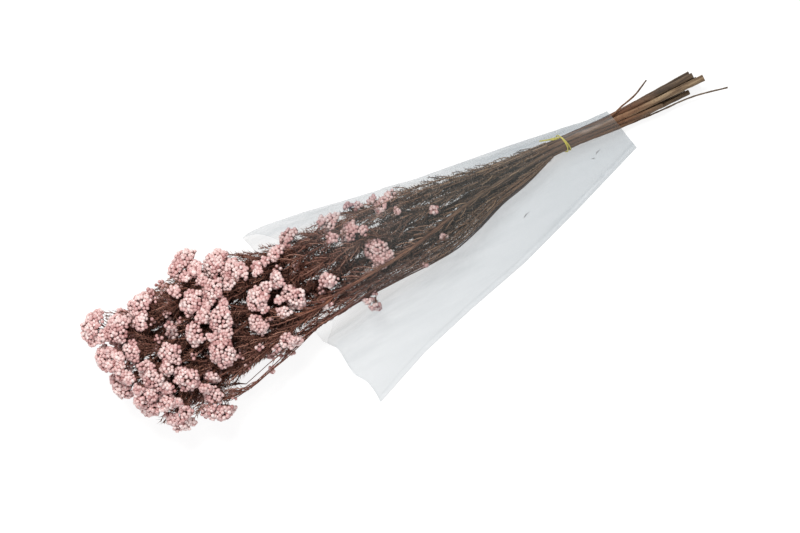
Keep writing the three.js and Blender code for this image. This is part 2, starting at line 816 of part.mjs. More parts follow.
// Even spots over the dome: equal areas, each turned by the golden angle from the last
function budAngles(head) {
  const steps = 60;
  const sums = [0];
  for (let i = 1; i <= steps; i += 1) {
    const polar = (BUD_LIMIT * (i - 0.5)) / steps;
    const depth = polar < Math.PI / 2 ? head.front : head.back;
    const arc = Math.hypot(head.half * Math.cos(polar), depth * Math.sin(polar));
    sums.push(sums[i - 1] + arc * 2 * Math.PI * head.half * Math.sin(polar) * (BUD_LIMIT / steps));
  }
  const area = sums[steps];
  const pitch = head.lower ? LOWER_BUD_PITCH : BUD_PITCH;
  const count = Math.max(LEAST_BUDS, Math.round(area / ((pitch ** 2 * Math.sqrt(3)) / 2)));
  const offset = 2 * Math.PI * random();
  return Array.from({ length: count }, (_, n) => {
    const share = (area * (n + 0.5)) / count;
    let k = 1;
    while (sums[k] < share) k += 1;
    const polar = (BUD_LIMIT * (k - 1 + (share - sums[k - 1]) / (sums[k] - sums[k - 1]))) / steps;
    return { polar, turn: offset + n * GOLDEN_ANGLE };
  });
}

// The triangles that wrap a set of points, facing out
function hullTriangles(points) {
  const copies = points.map((p) => p.clone());
  const hull = new ConvexHull().setFromPoints(copies);
  return hull.faces.map((face) => {
    const t = [];
    let edge = face.edge;
    do {
      t.push(copies.indexOf(edge.head().point));
      edge = edge.next;
    } while (edge !== face.edge);
    return t;
  });
}

// The triangles round a spot, in order
function ringOfTriangles(i, triangles, wing) {
  const first = triangles.findIndex((t) => t.includes(i));
  const ring = [];
  let n = first;
  do {
    ring.push(n);
    const t = triangles[n];
    const before = t[(t.indexOf(i) + 2) % 3];
    n = wing.get(i + "," + before);
  } while (n !== first);
  return ring;
}

// Three raised corners round a bud's middle
function shoulderOf(spot, valley, head) {
  const out = spot.p.clone().sub(head.centre);
  const along = out.dot(head.axis);
  const depth = along > 0 ? head.front : head.back;
  out.addScaledVector(head.axis, -along).divideScalar(head.half ** 2);
  out.addScaledVector(head.axis, along / depth ** 2).normalize();
  const right = valley.clone().sub(spot.p);
  right.addScaledVector(out, -right.dot(out)).normalize();
  const up = out.clone().cross(right);
  const turn = 2 * Math.PI * random();
  const points = [0, 1, 2].map((k) => {
    const a = turn + (2 * Math.PI * k) / 3;
    return spot.p
      .clone()
      .addScaledVector(right, BUD_SHOULDER * Math.cos(a))
      .addScaledVector(up, BUD_SHOULDER * Math.sin(a))
      .addScaledVector(out, BUD_RISE);
  });
  const angleOf = (p) => {
    const d = p.clone().sub(spot.p);
    return Math.atan2(d.dot(up), d.dot(right));
  };
  return { points, angleOf };
}

// Faces between a bud's valley ring and its three raised corners, and the cap over them
function stitch(ring, shoulders, first, positions, faces) {
  const full = 2 * Math.PI;
  const unwrap = (angles) => {
    const out = [angles[0]];
    for (let i = 1; i < angles.length; i += 1) {
      let a = angles[i];
      while (a < out[i - 1]) a += full;
      out.push(a);
    }
    return out;
  };
  const outer = ring.map((v) => ({ v, a: (shoulders.angleOf(positions[v]) + full) % full }));
  outer.sort((p, q) => p.a - q.a);
  const inner = shoulders.points.map((p, k) => ({ v: first + k, a: (shoulders.angleOf(p) + full) % full }));
  inner.sort((p, q) => p.a - q.a);
  const oa = unwrap([...outer.map((p) => p.a), outer[0].a + full]);
  const ia = unwrap([...inner.map((p) => p.a), inner[0].a + full]);
  let i = 0;
  let j = 0;
  while (i < outer.length || j < inner.length) {
    const o = outer[i % outer.length].v;
    const n = inner[j % inner.length].v;
    const outerNext = i < outer.length ? (oa[i] + oa[i + 1]) / 2 : Infinity;
    const innerNext = j < inner.length ? (ia[j] + ia[j + 1]) / 2 : Infinity;
    if (outerNext <= innerNext) {
      faces.push([o, outer[(i + 1) % outer.length].v, n]);
      i += 1;
    } else {
      faces.push([n, o, inner[(j + 1) % inner.length].v]);
      j += 1;
    }
  }
  faces.push(inner.map((p) => p.v));
}

// Drops the points that no face uses
function compact(positions, faces) {
  const used = new Map();
  const kept = [];
  const renumbered = faces.map((f) =>
    f.map((v) => {
      if (!used.has(v)) used.set(v, kept.push(positions[v]) - 1);
      return used.get(v);
    }),
  );
  return geometryOf(kept, renumbered);
}

// The sleeve's flattened outline at a station: its two edges
function sleeveEdges(x) {
  const t = clamp((SLEEVE_NARROW_X - x) / (SLEEVE_NARROW_X - SLEEVE_MOUTH_X), 0, 1);
  return { upper: mix(SLEEVE_UPPER[0], SLEEVE_UPPER[1], t), lower: mix(SLEEVE_LOWER[0], SLEEVE_LOWER[1], t) };
}

// The outer line of the film round the bunch at a station, from the lower edge over the top and back
function sleeveSection(x) {
  const o = outlineAt(x);
  const edges = sleeveEdges(x);
  const top = o.z + o.h + FILM + SLEEVE_CLEAR;
  const upper = Math.max(edges.upper, o.y + o.w + SLEEVE_CLEAR + FILM);
  const flap = 2 * FILM + FLAP_GAP;
  const half = upper - o.y;
  const points = [];
  FLAP_SHARES.forEach((share) => {
    const y = mix(o.y - o.w * DRAPE_START, edges.lower, share);
    points.push([y, coverHeight(y, o, top, flap)]);
  });
  [DRAPE_START, DRAPE_START / 2, 0].forEach((share) => {
    const y = o.y - share * o.w;
    points.push([y, coverHeight(y, o, top, flap)]);
  });
  CROWN_SHARES.forEach((share) => {
    points.push([o.y + share * half, (top / 2) * (1 + (1 - share ** CROWN_POWER) ** (1 / CROWN_POWER))]);
  });
  points.push([upper, top / 2]);
  HEEL_SHARES.forEach((share) => {
    const along = clamp((share - FLAT_SHARE) / (1 - FLAT_SHARE), 0, 1);
    points.push([o.y + share * half, (top / 2) * (1 - Math.sqrt(1 - along ** 2))]);
  });
  points.push([o.y, 0], [mix(o.y, edges.lower, 0.5), 0], [edges.lower + 2 * FILM, 0]);
  return points;
}

// The height of the film over the bunch's lower side, falling to the flat flap
function coverHeight(y, o, top, flap) {
  const t = (o.y - y) / (o.w + SLEEVE_CLEAR);
  return flap + (top - flap) * Math.exp(-((Math.max(t, 0) / DRAPE_REACH) ** 4));
}

// How far a point is inside the film, or a large number beyond the sleeve's two ends
function filmRoom(p) {
  const x = p.x + SLEEVE_SKEW * (p.y - SLEEVE_SKEW_Y);
  if (x < SLEEVE_MOUTH_X - 3 || x > SLEEVE_NARROW_X + 3) return 1e3;
  const points = sleeveSection(x);
  let nearest = Infinity;
  let inside = false;
  points.forEach(([y0, z0], i) => {
    const [y1, z1] = points[(i + 1) % points.length];
    const along = (p.y - y0) * (y1 - y0) + (p.z - z0) * (z1 - z0);
    const t = clamp(along / ((y1 - y0) ** 2 + (z1 - z0) ** 2), 0, 1);
    nearest = Math.min(nearest, Math.hypot(p.y - mix(y0, y1, t), p.z - mix(z0, z1, t)));
    if (z0 > p.z !== z1 > p.z && p.y < mix(y0, y1, (p.z - z0) / (z1 - z0))) inside = !inside;
  });
  return (inside ? nearest : -nearest) - FILM;
}

// The same line moved in by the film's thickness
function insetSection(points) {
  const n = points.length;
  return points.map(([y, z], i) => {
    const [y0, z0] = points[(i + n - 1) % n];
    const [y1, z1] = points[(i + 1) % n];
    const a = new THREE.Vector2(y - y0, z - z0).normalize();
    const b = new THREE.Vector2(y1 - y, z1 - z).normalize();
    const normal = new THREE.Vector2(a.y + b.y, -(a.x + b.x)).normalize();
    const spread = Math.max(0.5, normal.x * a.y - normal.y * a.x);
    return [y + (normal.x * FILM) / spread, z + (normal.y * FILM) / spread];
  });
}

function sleeveGeometry() {
  const positions = [];
  const faces = [];
  const rings = [];
  for (let k = 0; k < SLEEVE_STATIONS; k += 1) {
    const x = mix(SLEEVE_NARROW_X, SLEEVE_MOUTH_X, k / (SLEEVE_STATIONS - 1));
    const outer = sleeveSection(x);
    const inner = insetSection(outer);
    const high = Math.max(...outer.map(([, z]) => z));
    const recess = MOUTH_RECESS * (k / (SLEEVE_STATIONS - 1)) ** 3;
    const put = (section) =>
      section.map(([y, z]) => {
        const back = recess * Math.max(0, (2 * z) / high - 1) - SLEEVE_SKEW * (y - SLEEVE_SKEW_Y);
        return positions.push(new THREE.Vector3(x + back, y, z)) - 1;
      });
    rings.push({ outer: put(outer), inner: put(inner) });
  }
  const n = rings[0].outer.length;
  const strip = (a, b, c, d) => faces.push([a, c, b], [a, d, c]);
  for (let k = 0; k < rings.length - 1; k += 1) {
    for (let i = 0; i < n; i += 1) {
      const j = (i + 1) % n;
      const [p, q] = [rings[k], rings[k + 1]];
      strip(p.outer[i], q.outer[i], q.outer[j], p.outer[j]);
      strip(p.inner[i], p.inner[j], q.inner[j], q.inner[i]);
    }
  }
  const [p, q] = [rings[0], rings[rings.length - 1]];
  for (let i = 0; i < n; i += 1) {
    const j = (i + 1) % n;
    strip(p.outer[i], p.outer[j], p.inner[j], p.inner[i]);
    strip(q.outer[i], q.inner[i], q.inner[j], q.outer[j]);
  }
  return geometryOf(positions, faces);
}

// The rubber band: a ring round the stems, with its pinched loop standing out at one side
function bandGeometry() {
  const o = outlineAt(BAND_X);
  const radius = BAND_INNER_RADIUS + BAND_WIRE_RADIUS;
  const ring = new THREE.TorusGeometry(radius, BAND_WIRE_RADIUS, BAND_SIDES, BAND_STEPS);
  ring.rotateY(Math.PI / 2);
  ring.scale(1, 1 / Math.cos(BAND_LEAN), 1);
  ring.rotateZ(BAND_LEAN);
  ring.translate(BAND_X, o.y, o.z);
  const root = new THREE.Vector3(BAND_X, o.y + radius * Math.SQRT1_2, o.z + radius * Math.SQRT1_2);
  const line = smoothLine(BAND_TAIL.map((step) => root.clone().add(new THREE.Vector3(...step))), 3);
  const { total } = walker(line);
  const rings = [0, 0.25, 0.5, 0.75, 1].map((share) => ({ s: share * total, turn: 0 }));
  const tail = leafyTube(line, BAND_SIDES, () => BAND_WIRE_RADIUS, rings);
  return joined([ring, tail]);
}

const heads = headPlaces();
const wood = layWood(heads);
const leaves = [];

// Whether a leaf stays clear of all wood and leaves but its own line's, of the heads and of the film
function leafClearFor(own) {
  return (root, tip) => {
    const width = NEEDLE_WIDTH / 2 + GAP;
    const beyond = tip.clone().addScaledVector(tip.clone().sub(root).normalize(), 0.6);
    for (const p of [beyond, root.clone().lerp(tip, 0.5), root.clone().lerp(tip, 0.8)]) {
      if (heads.some((head) => insideHead(head, p, BUD_RISE + width + GAP) < 1)) return false;
      if (p.z < GAP || filmRoom(p) < GAP + NEEDLE_WIDTH / 2) return false;
      if (Math.hypot(...placeInOutline(p)) > LEAF_BOUND) return false;
    }
    for (const line of wood) {
      if (line === own || line.kind === "stalk") continue;
      for (let j = 1; j < line.points.length; j += 1) {
        const apart = segmentDistance(root, tip, line.points[j - 1], line.points[j]);
        if (apart < line.radius + width) return false;
      }
    }
    const near = (leaf) => leaf.line !== own && segmentDistance(root, tip, leaf.root, leaf.tip) < 2 * width;
    if (leaves.some(near)) return false;
    leaves.push({ line: own, root: root.clone(), tip: tip.clone() });
    return true;
  };
}

// The leafy wood of one stem: its trunk and the branches that leave it
function stemGeometry(stem) {
  const parts = wood.filter((line) => line.stem === stem).map(lineGeometry);
  return parts.length > 1 ? joined(parts) : geometryFrom(solidOf(parts[0]));
}

function lineGeometry(line) {
  const { total } = walker(line.points);
  const branch = line.kind === "branch";
  const cut = line.kind === "stem" ? CUT_ENDS[line.stem][1] : line.radius;
  const tip = line.kind === "stem" ? STEM_TIP_RADIUS : BRANCH_TIP_RADIUS;
  const bandAt = branch ? 0 : lengthToX(line.points, BAND_X);
  const radiusAt = (s) =>
    s < bandAt ? mix(cut, line.radius, s / bandAt) : mix(line.radius, tip, (s - bandAt) / (total - bandAt));
  const leafFrom = bandAt + FIRST_LEAF[branch ? 1 : 0];
  const sides = line.kind === "stem" ? STEM_SIDES : BRANCH_SIDES;
  const whorl = branch ? BRANCH_WHORL : STEM_WHORL;
  const rings = ringsAlong(total, branch ? 1 : BARE_STEPS, leafFrom, whorl, sides, line.turn ?? 0);
  return leafyTube(line.points, sides, radiusAt, rings, leafClearFor(line));
}

function lengthToX(points, x) {
  let run = 0;
  for (let i = 1; i < points.length; i += 1) {
    if (points[i].x <= x) {
      const t = (points[i - 1].x - x) / (points[i - 1].x - points[i].x);
      return run + t * points[i].distanceTo(points[i - 1]);
    }
    run += points[i].distanceTo(points[i - 1]);
  }
  return run;
}

const BARK = new THREE.MeshStandardMaterial({ color: 0x5a3a2c, roughness: 0.85, metalness: 0 });
const BUDS = new THREE.MeshStandardMaterial({ color: 0xdba79f, roughness: 0.7, metalness: 0 });
const RUBBER = new THREE.MeshStandardMaterial({ color: 0xd9cc3c, roughness: 0.5, metalness: 0 });
const CLEAR_FILM = new THREE.MeshStandardMaterial({
  color: 0xdfe8ec,
  roughness: 0.25,
  metalness: 0,
  transparent: true,
  opacity: 0.35,
});

const bunch = new THREE.Group();
function put(name, geometry, material) {
  const mesh = new THREE.Mesh(geometry, material);
  mesh.name = name;
  bunch.add(mesh);
}

const number = (n) => String(n + 1).padStart(2, "0");
for (let stem = 0; stem < LEADERS + TWIGS; stem += 1) put("stem_" + number(stem), stemGeometry(stem), BARK);
heads.forEach((head, i) => put("head_" + number(i), headGeometry(head), BUDS));
put("band", bandGeometry(), RUBBER);
put("sleeve", sleeveGeometry(), CLEAR_FILM);

// The origin is under the middle of the whole bunch
const box = new THREE.Box3().setFromObject(bunch);
bunch.position.set(-(box.min.x + box.max.x) / 2, -(box.min.y + box.max.y) / 2, -box.min.z);

export default bunch;
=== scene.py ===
import math

import bmesh
import bpy
import numpy as np
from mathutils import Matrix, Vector, noise


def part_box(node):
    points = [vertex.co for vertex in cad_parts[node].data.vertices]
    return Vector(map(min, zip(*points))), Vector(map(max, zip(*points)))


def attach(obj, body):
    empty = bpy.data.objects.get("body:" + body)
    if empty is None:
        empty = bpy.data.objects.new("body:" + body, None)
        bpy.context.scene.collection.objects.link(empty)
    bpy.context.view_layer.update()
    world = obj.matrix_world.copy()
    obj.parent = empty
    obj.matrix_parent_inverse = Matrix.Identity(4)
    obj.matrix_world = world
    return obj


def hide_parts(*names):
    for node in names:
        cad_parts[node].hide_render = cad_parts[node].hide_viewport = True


# A tied bunch of preserved rice flower in a clear film sleeve, lying down.
# Lengths are in millimetres in the bunch's own frame until placed() turns them into the part's metres.

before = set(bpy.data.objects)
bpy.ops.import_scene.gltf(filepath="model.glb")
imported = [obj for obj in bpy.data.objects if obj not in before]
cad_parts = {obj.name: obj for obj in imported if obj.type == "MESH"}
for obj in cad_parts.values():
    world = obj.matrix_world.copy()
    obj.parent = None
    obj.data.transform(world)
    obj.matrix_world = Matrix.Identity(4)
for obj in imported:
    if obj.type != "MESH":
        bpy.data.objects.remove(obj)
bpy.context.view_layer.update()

MM = 0.001
SEED = 20461
GOLDEN_ANGLE = math.pi * (3 - math.sqrt(5))

# The bunch's frame is carried by two edges of the sleeve: its narrow end's corner and its lower corner
NARROW_CORNER_X = 250.035
LOWER_CORNER_Y = -104.5
sleeve_low, sleeve_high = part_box("sleeve")
SHIFT = np.array([sleeve_high.x / MM - NARROW_CORNER_X, sleeve_low.y / MM - LOWER_CORNER_Y, 0.0])

# The bunch's outline: x, middle y, middle z, half width, half height
OUTLINE = np.array([
    (345, 24.0, 11.9, 8.5, 8.5),
    (250, 25.5, 11.9, 8.5, 8.5),
    (190, 30.5, 11.9, 8.5, 8.5),
    (120, 31.0, 15.5, 17.0, 14.0),
    (30, 32.0, 26.5, 38.0, 24.0),
    (-95, 30.0, 34.5, 47.0, 32.0),
    (-180, 31.0, 42.0, 70.0, 40.0),
    (-300, 26.0, 43.5, 69.0, 41.5),
])

# The wood: kind, stem, head, head's middle, head's breadth, and the points up to the head's stalk
ROUTES = [
    ("twig", 9, 9, (12.8, 58.6, 32.8), 24, [(287, 46, 25), (270, 38.4, 22.9), (253.8, 34.9, 21.1),
        (240, 31.3, 19.6), (230.7, 30.9, 18.8), (218, 33.6, 18.1), (184, 35.5, 17.3)]),
    ("twig", 10, 10, (-41, -12.7, 30.2), 17, [(352, 4, 9), (318, 12, 8.3), (285, 14.5, 7.3),
        (240, 18.5, 7.1), (200, 23, 9.4), (177.3, 24.1, 10.1), (129.9, 20.7, 12), (99.8, 16.7, 15),
        (25, 4.5, 24.9)]),
    ("stem", 1, 1, (-279.9, 83, 47.3), 36, [(328, 29.4, 17.7), (245, 31, 15), (184, 35.6, 14),
        (84.3, 37.2, 18.4), (-11.1, 35.3, 21.5), (-75.4, 35.9, 23.6), (-106.5, 38.3, 25.5),
        (-136.7, 43.5, 28.6), (-193.3, 56.7, 36.2)]),
    ("stem", 2, 2, (-261.1, 72.3, 65.1), 33, [(336, 22.8, 19.5), (245, 26.7, 17.8), (194.4, 31.7, 17),
        (87.6, 34, 22.5), (26.8, 36.5, 26.3), (-4.1, 38.3, 27.7), (-65.9, 43.3, 26.8),
        (-95.8, 47.1, 28.2), (-124.9, 53.6, 33.6), (-153, 61.3, 41.1), (-179.2, 66.2, 47.4),
        (-204.8, 65.7, 51.2)]),
    ("stem", 3, 3, (-281.3, 25.2, 51.1), 32, [(330, 24.2, 11.9), (245, 25.9, 11.9),
        (180.7, 30.8, 12.3), (84.6, 28, 17.6), (-10.5, 22.1, 24.3), (-105.5, 19.2, 31),
        (-192, 21.5, 41.6)]),
    ("stem", 4, 4, (-250, -29, 43.6), 32, [(318, 17.3, 8.9), (245, 20, 11.3), (180.3, 25.6, 13),
        (119.8, 22.5, 15.4), (89.5, 20.2, 16.7), (-0.1, 9.7, 21.2), (-89.7, 3.1, 25.4),
        (-171.1, -9.8, 35.2)]),
    ("stem", 5, 5, (-213, -38, 43.4), 34, [(290, 18, 15.6), (179.8, 28, 16.3), (124.1, 26, 25.3),
        (96.3, 23.9, 30.7), (41.9, 14.1, 44.5), (14.2, 9.6, 50.1), (-13.4, 7.5, 52.7),
        (-67.9, 4.3, 53.8), (-119.1, -5.1, 54.4), (-142.6, -9.8, 53.3), (-165.6, -13.2, 49.9)]),
    ("stem", 6, 6, (-179, 97, 42.4), 34, [(326, 32, 11.5), (231.7, 31.9, 9.6), (128.2, 38.3, 10.2),
        (78.5, 44.4, 11.5), (-22.4, 60.4, 17.3), (-46.8, 62.2, 18.8), (-70.5, 59.9, 19.5),
        (-93.5, 55.7, 20.1), (-114.9, 54.9, 22.4), (-135.9, 60.7, 28.3)]),
    ("stem", 7, 7, (-262, 62, 18.5), 31, [(322, 28.9, 5.6), (245, 27.8, 6.2), (180.4, 31.6, 7.1),
        (87.6, 27, 10.2), (-4.2, 20.5, 16), (-66, 20.9, 19.1), (-96, 23.1, 20.7), (-125, 27.5, 22.6),
        (-179.4, 39.1, 26.1)]),
    ("stem", 8, 8, (-258, 6, 15.6), 31, [(315, 22.4, 4.4), (245, 22.7, 6.9), (180.4, 27.3, 8.7),
        (148.9, 25.5, 8.9), (88.4, 20.3, 9.8), (-2.4, 4.9, 18.2), (-33, 1.9, 19.4),
        (-93.3, -1.1, 21.2), (-149.8, -0.7, 26.8), (-175.8, 0.9, 28.7), (-201.1, 4.6, 28.6)]),
    ("branch", 6, 11, (-150.6, 83, 46.8), 34, [(-70.5, 59.9, 19.5), (-84.1, 60.1, 21.8),
        (-93.9, 60.4, 25.2), (-123.1, 64, 38.1), (-134.9, 65, 41.2)]),
    ("branch", 2, 12, (-165.7, 62, 67.6), 27, [(-65.9, 43.3, 26.8), (-90.5, 44.1, 31.6),
        (-136.2, 50.4, 49.6)]),
    ("branch", 2, 13, (-188.3, 62, 69.5), 26, [(-95.8, 47.1, 28.2), (-118.4, 49.2, 33.4),
        (-160.3, 52, 52)]),
    ("branch", 5, 14, (-172, 34, 72.5), 29, [(-93.9, 0.1, 54.4), (-107.4, 4.5, 55.6),
        (-137.2, 26.2, 55.6), (-146.5, 31.4, 55.6), (-154.7, 33.5, 55.5)]),
    ("branch", 5, 15, (-184, 6, 71.1), 31, [(-119.1, -5.1, 54.4), (-126.2, -5, 55.1),
        (-133.8, -3.2, 55.4), (-161.2, 11, 55.2), (-167.7, 13.4, 55.1)]),
    ("branch", 3, 16, (-200, 33, 72.8), 23, [(-105.5, 19.2, 31), (-116.7, 19.4, 33),
        (-128.6, 20.6, 36.5), (-171.3, 30.5, 55.7), (-176.7, 31.5, 57.6)]),
    ("branch", 2, 17, (-233.2, 79.5, 55.5), 34, [(-153, 61.3, 41.1), (-180.9, 65.5, 45.4)]),
    ("branch", 1, 18, (-258.6, 47, 70.6), 24, [(-165.9, 50.4, 32.5), (-181, 42.6, 36.3),
        (-192, 36.7, 41.3), (-197.6, 34.4, 44.2), (-208.8, 32.2, 50.4), (-214.2, 32, 53.4),
        (-224.6, 34, 58.2), (-229.3, 35.5, 59.9)]),
    ("branch", 1, 19, (-283.5, 54.5, 52.9), 29, [(-193.3, 56.7, 36.2), (-207.8, 55.4, 37.6),
        (-249.8, 49.2, 47.1)]),
    ("branch", 4, 20, (-270, -3.6, 51.4), 29, [(-171.1, -9.8, 35.2), (-187.6, -9.5, 37.1),
        (-235, 3.1, 46)]),
    ("branch", 3, 21, (-229, 29, 76.1), 26, [(-135.6, 19.5, 34.4), (-146.4, 19.7, 36.5),
        (-157.9, 20.8, 40.4), (-188, 26.5, 55), (-199.3, 28.2, 59.2)]),
    ("branch", 5, 22, (-225, 1, 72.1), 28, [(-142.6, -9.8, 53.3), (-156.8, -12.4, 53.6),
        (-167.1, -11.3, 54.2), (-177.6, -7.8, 55.2), (-206.2, 6.7, 58.2)]),
    ("branch", 3, 23, (-254, 15.7, 75.9), 27, [(-164.8, 20.4, 38.3), (-185.4, 19.9, 43.9),
        (-223.8, 19.3, 60.4)]),
    ("branch", 8, 24, (-250.4, -7.5, 61), 24, [(-175.8, 0.9, 28.7), (-188.2, 0.5, 31.5),
        (-223.9, 1.3, 50.7)]),
    ("branch", 5, 25, (-204.6, -9.5, 57.5), 19, [(-142.6, -9.8, 53.3), (-157.1, -9.7, 53.8),
        (-190.4, -1.6, 50.6)]),
    ("branch", 2, 26, (-217, 48, 53.6), 21, [(-153, 61.3, 41.1), (-166.7, 59.4, 43.4),
        (-192.2, 45.5, 48.9)]),
    ("branch", 6, 27, (-119, 61, 55.1), 18, [(-46.8, 62.2, 18.8), (-59.7, 64, 21.7),
        (-69.1, 63.4, 26.2), (-96.9, 55.7, 42.3)]),
    ("branch", 6, 28, (-79.6, 71.8, 35), 24, [(2.8, 56.6, 15.7), (-6.9, 62.2, 13.2), (-17.3, 67, 12.3),
        (-28.2, 70.3, 13.3), (-33.7, 70.8, 14.8), (-49.6, 68.4, 21.6)]),
    ("branch", 6, 29, (-97.4, 65.3, 47.1), 21, [(-22.4, 60.4, 17.3), (-40.5, 56.3, 21.4),
        (-65.1, 51.9, 33), (-78.4, 52.2, 38.6)]),
    ("branch", 5, 30, (-132, 36, 65.9), 26, [(-67.9, 4.3, 53.8), (-75.1, 5.6, 50.1),
        (-82.7, 8.9, 46.4), (-90.7, 14.6, 43.1), (-98.7, 21.1, 41.9), (-110.1, 29.6, 44.1),
        (-116.6, 32.9, 47.2)]),
    ("branch", 2, 31, (-107, 43.4, 58.5), 19, [(-35, 40.6, 27.6), (-52.3, 40.3, 31.2),
        (-84.4, 39.3, 44.1)]),
    ("branch", 4, 32, (-101, 21.3, 55.4), 28, [(-30.2, 7.5, 22.4), (-42, 8.8, 24.5),
        (-76.1, 23.1, 38.4)]),
    ("branch", 5, 33, (-143, 14, 65.2), 21, [(-67.9, 4.3, 53.8), (-81.2, 1.5, 57), (-95.8, 2.9, 58.1),
        (-110.5, 7.5, 57.2)]),
    ("branch", 4, 34, (-122, -11, 41.5), 24, [(-60.4, 5.7, 23.6), (-74.6, 5.1, 26.3), (-101.1, 4, 36)]),
    ("branch", 7, 35, (-66, 21, 54.5), 19, [(26.7, 22.1, 14.1), (9.8, 26.6, 17), (-2.5, 29.5, 21.5),
        (-15, 31.2, 27.2), (-27.3, 31.3, 33.2), (-38.9, 29.6, 38.3)]),
    ("branch", 7, 36, (-11, 20.9, 41.2), 32, [(57.6, 24.7, 12), (42.8, 27.5, 15.1), (22.8, 30.2, 23),
        (12, 29.5, 26.6)]),
    ("branch", 1, 37, (-25.8, 50.8, 42.7), 23, [(53.1, 36.6, 19.4), (28.8, 41.4, 23.1),
        (18.4, 42.4, 25.3), (-5.9, 40.6, 31.8)]),
    ("branch", 8, 38, (-36.6, 65.7, 30.7), 24, [(88.4, 20.3, 9.8), (65.3, 13.3, 17.5),
        (48.4, 12.3, 24.2), (39.8, 13.4, 27.2), (22.7, 20.2, 30.3), (14.4, 24.5, 33.2),
        (-1.5, 33.4, 48.4), (-8.8, 38, 52.2), (-15.7, 42.7, 47)]),
    ("branch", 2, 39, (-222.5, 81.2, 26.2), 24, [(-153, 61.3, 41.1), (-164.3, 63.5, 40.9),
        (-176.8, 67, 38.8), (-197, 69.8, 33.5)]),
    ("branch", 7, 40, (-226, 34, 14.8), 31, [(-153.2, 33.4, 24.6), (-181.7, 33.8, 26.8)]),
    ("branch", 8, 41, (-224, -14, 23.1), 28, [(-149.8, -0.7, 26.8), (-175.9, -2.6, 28.9),
        (-208.8, -1.2, 30.9)]),
    ("branch", 6, 42, (-172, 62, 15.8), 30, [(-93.5, 55.7, 20.1), (-111.8, 56.3, 21.7),
        (-153.9, 51.3, 27.9)]),
    ("branch", 8, 43, (-166, 6, 13.9), 28, [(-93.3, -1.1, 21.2), (-110.1, 0, 22.4),
        (-141.3, 11.9, 25.6), (-148.7, 13.9, 26.6)]),
    ("branch", 1, 44, (-122, 38, 12.5), 27, [(-43.2, 35.3, 22.5)]),
    ("branch", 7, 45, (-76, 12, 13.3), 22, [(-4.2, 20.5, 16), (-21.1, 15.7, 14.6), (-34.8, 13.9, 15.5),
        (-48.2, 14.8, 18.3)]),
    ("branch", 1, 46, (-26, 45.1, 13.8), 24, [(53.1, 36.6, 19.4), (29.6, 33.1, 18.7),
        (14.6, 32.7, 19.2), (0.4, 34.6, 21)]),
]

# Wood sizes
BAND_X = 190
CUT_RADII = [2.9, 3.3, 2.8, 2.4, 2.3, 2.9, 2.7, 2.6]
BAND_RADIUS = 2.1
MIDDLE_BAND_RADIUS = 2.8
MIDDLE_STEM_REACH = 2.5  # a stem that passes this near the band's middle is the middle stem
STEM_TIP = 1.0
TWIG_RADIUS = 0.8
BRANCH_ROOT = 1.25
BRANCH_TIP = 0.75
STEP = 2.5

# A head's form, against its breadth, and the bare stalk that shows below it
HEAD_FRONT = 0.34
HEAD_BACK = 0.2
STALK_GAP = 0.35
STALK_LENGTH = 5  # and more by a share of the head's half breadth
STALK_SHARE = 0.55
DOME_ROOT = 150  # a dome's stem is taken to come from this far behind it
DOME_ROOT_MOST = 120  # but from no nearer the band than this x
DOME_LEAN = (0.55, 0.95)  # how far domes lean outwards at the bunch's end, and how much more further back
DOME_LEAN_RUN = (-275, 90)  # where that begins to grow, and the length over which it does

# The sleeve, in the CAD's thickness. Its ends lean: a station is an x plus SKEW times the y from SKEW_Y
FILM = 0.5
FLAP_GAP = 0.7
SKEW = 0.21
SKEW_Y = 28
NARROW_X = 243
MOUTH_X = -105
UPPER_EDGE = (38.5, 91)  # y at the narrow end and at the mouth
LOWER_EDGE = (-5.5, LOWER_CORNER_Y)
MOUTH_RECESS = 34
SLEEVE_CLEAR = 2.2
DRAPE_REACH = 1.28
CROWN_POWER = 2.3
FLAT_SHARE = 0.62
HELD_BEYOND = 4  # what stands this little beyond an end is still held in by the film
GROUND_ROOM = 0.25
LEAST_ROOM = 0.05


def placed(points):
    """Points of the bunch's frame in the part's own metres."""
    return (np.asarray(points, float) + SHIFT) * MM


def unit(v):
    return v / np.maximum(np.linalg.norm(v, axis=-1, keepdims=True), 1e-9)


def across_ways(along, across, turns):
    """Directions square to a line, turned round it."""
    other = np.cross(along, across)
    return across * np.cos(turns)[:, None] + other * np.sin(turns)[:, None]


def outline_at(x):
    """Middle y, middle z, half width and half height of the bunch's outline."""
    return [np.interp(-np.asarray(x, float), -OUTLINE[:, 0], OUTLINE[:, k]) for k in (1, 2, 3, 4)]


def dome_axis(middle):
    """A dome faces the way its stem grows, and away from the middle of the bunch."""
    root_x = min(middle[0] + DOME_ROOT, DOME_ROOT_MOST)
    y, z, _, _ = outline_at(root_x)
    growth = unit(middle - np.array([root_x, y, z]))
    y, z, w, h = outline_at(middle[0])
    outward = DOME_LEAN[0] + DOME_LEAN[1] * np.clip((middle[0] - DOME_LEAN_RUN[0]) / DOME_LEAN_RUN[1], 0, 1)
    return unit(growth + np.array([0, (middle[1] - y) / w, (middle[2] - z) / h]) * outward)


def lengths_along(points):
    """The length of the way from the first point to each point."""
    return np.concatenate([[0], np.cumsum(np.linalg.norm(np.diff(points, axis=0), axis=1))])


def curve_weights(t):
    """The weights of a smooth curve's start and end, and of its run as it leaves and as it arrives."""
    return 2 * t**3 - 3 * t**2 + 1, 3 * t**2 - 2 * t**3, t**3 - 2 * t**2 + t, t**3 - t**2


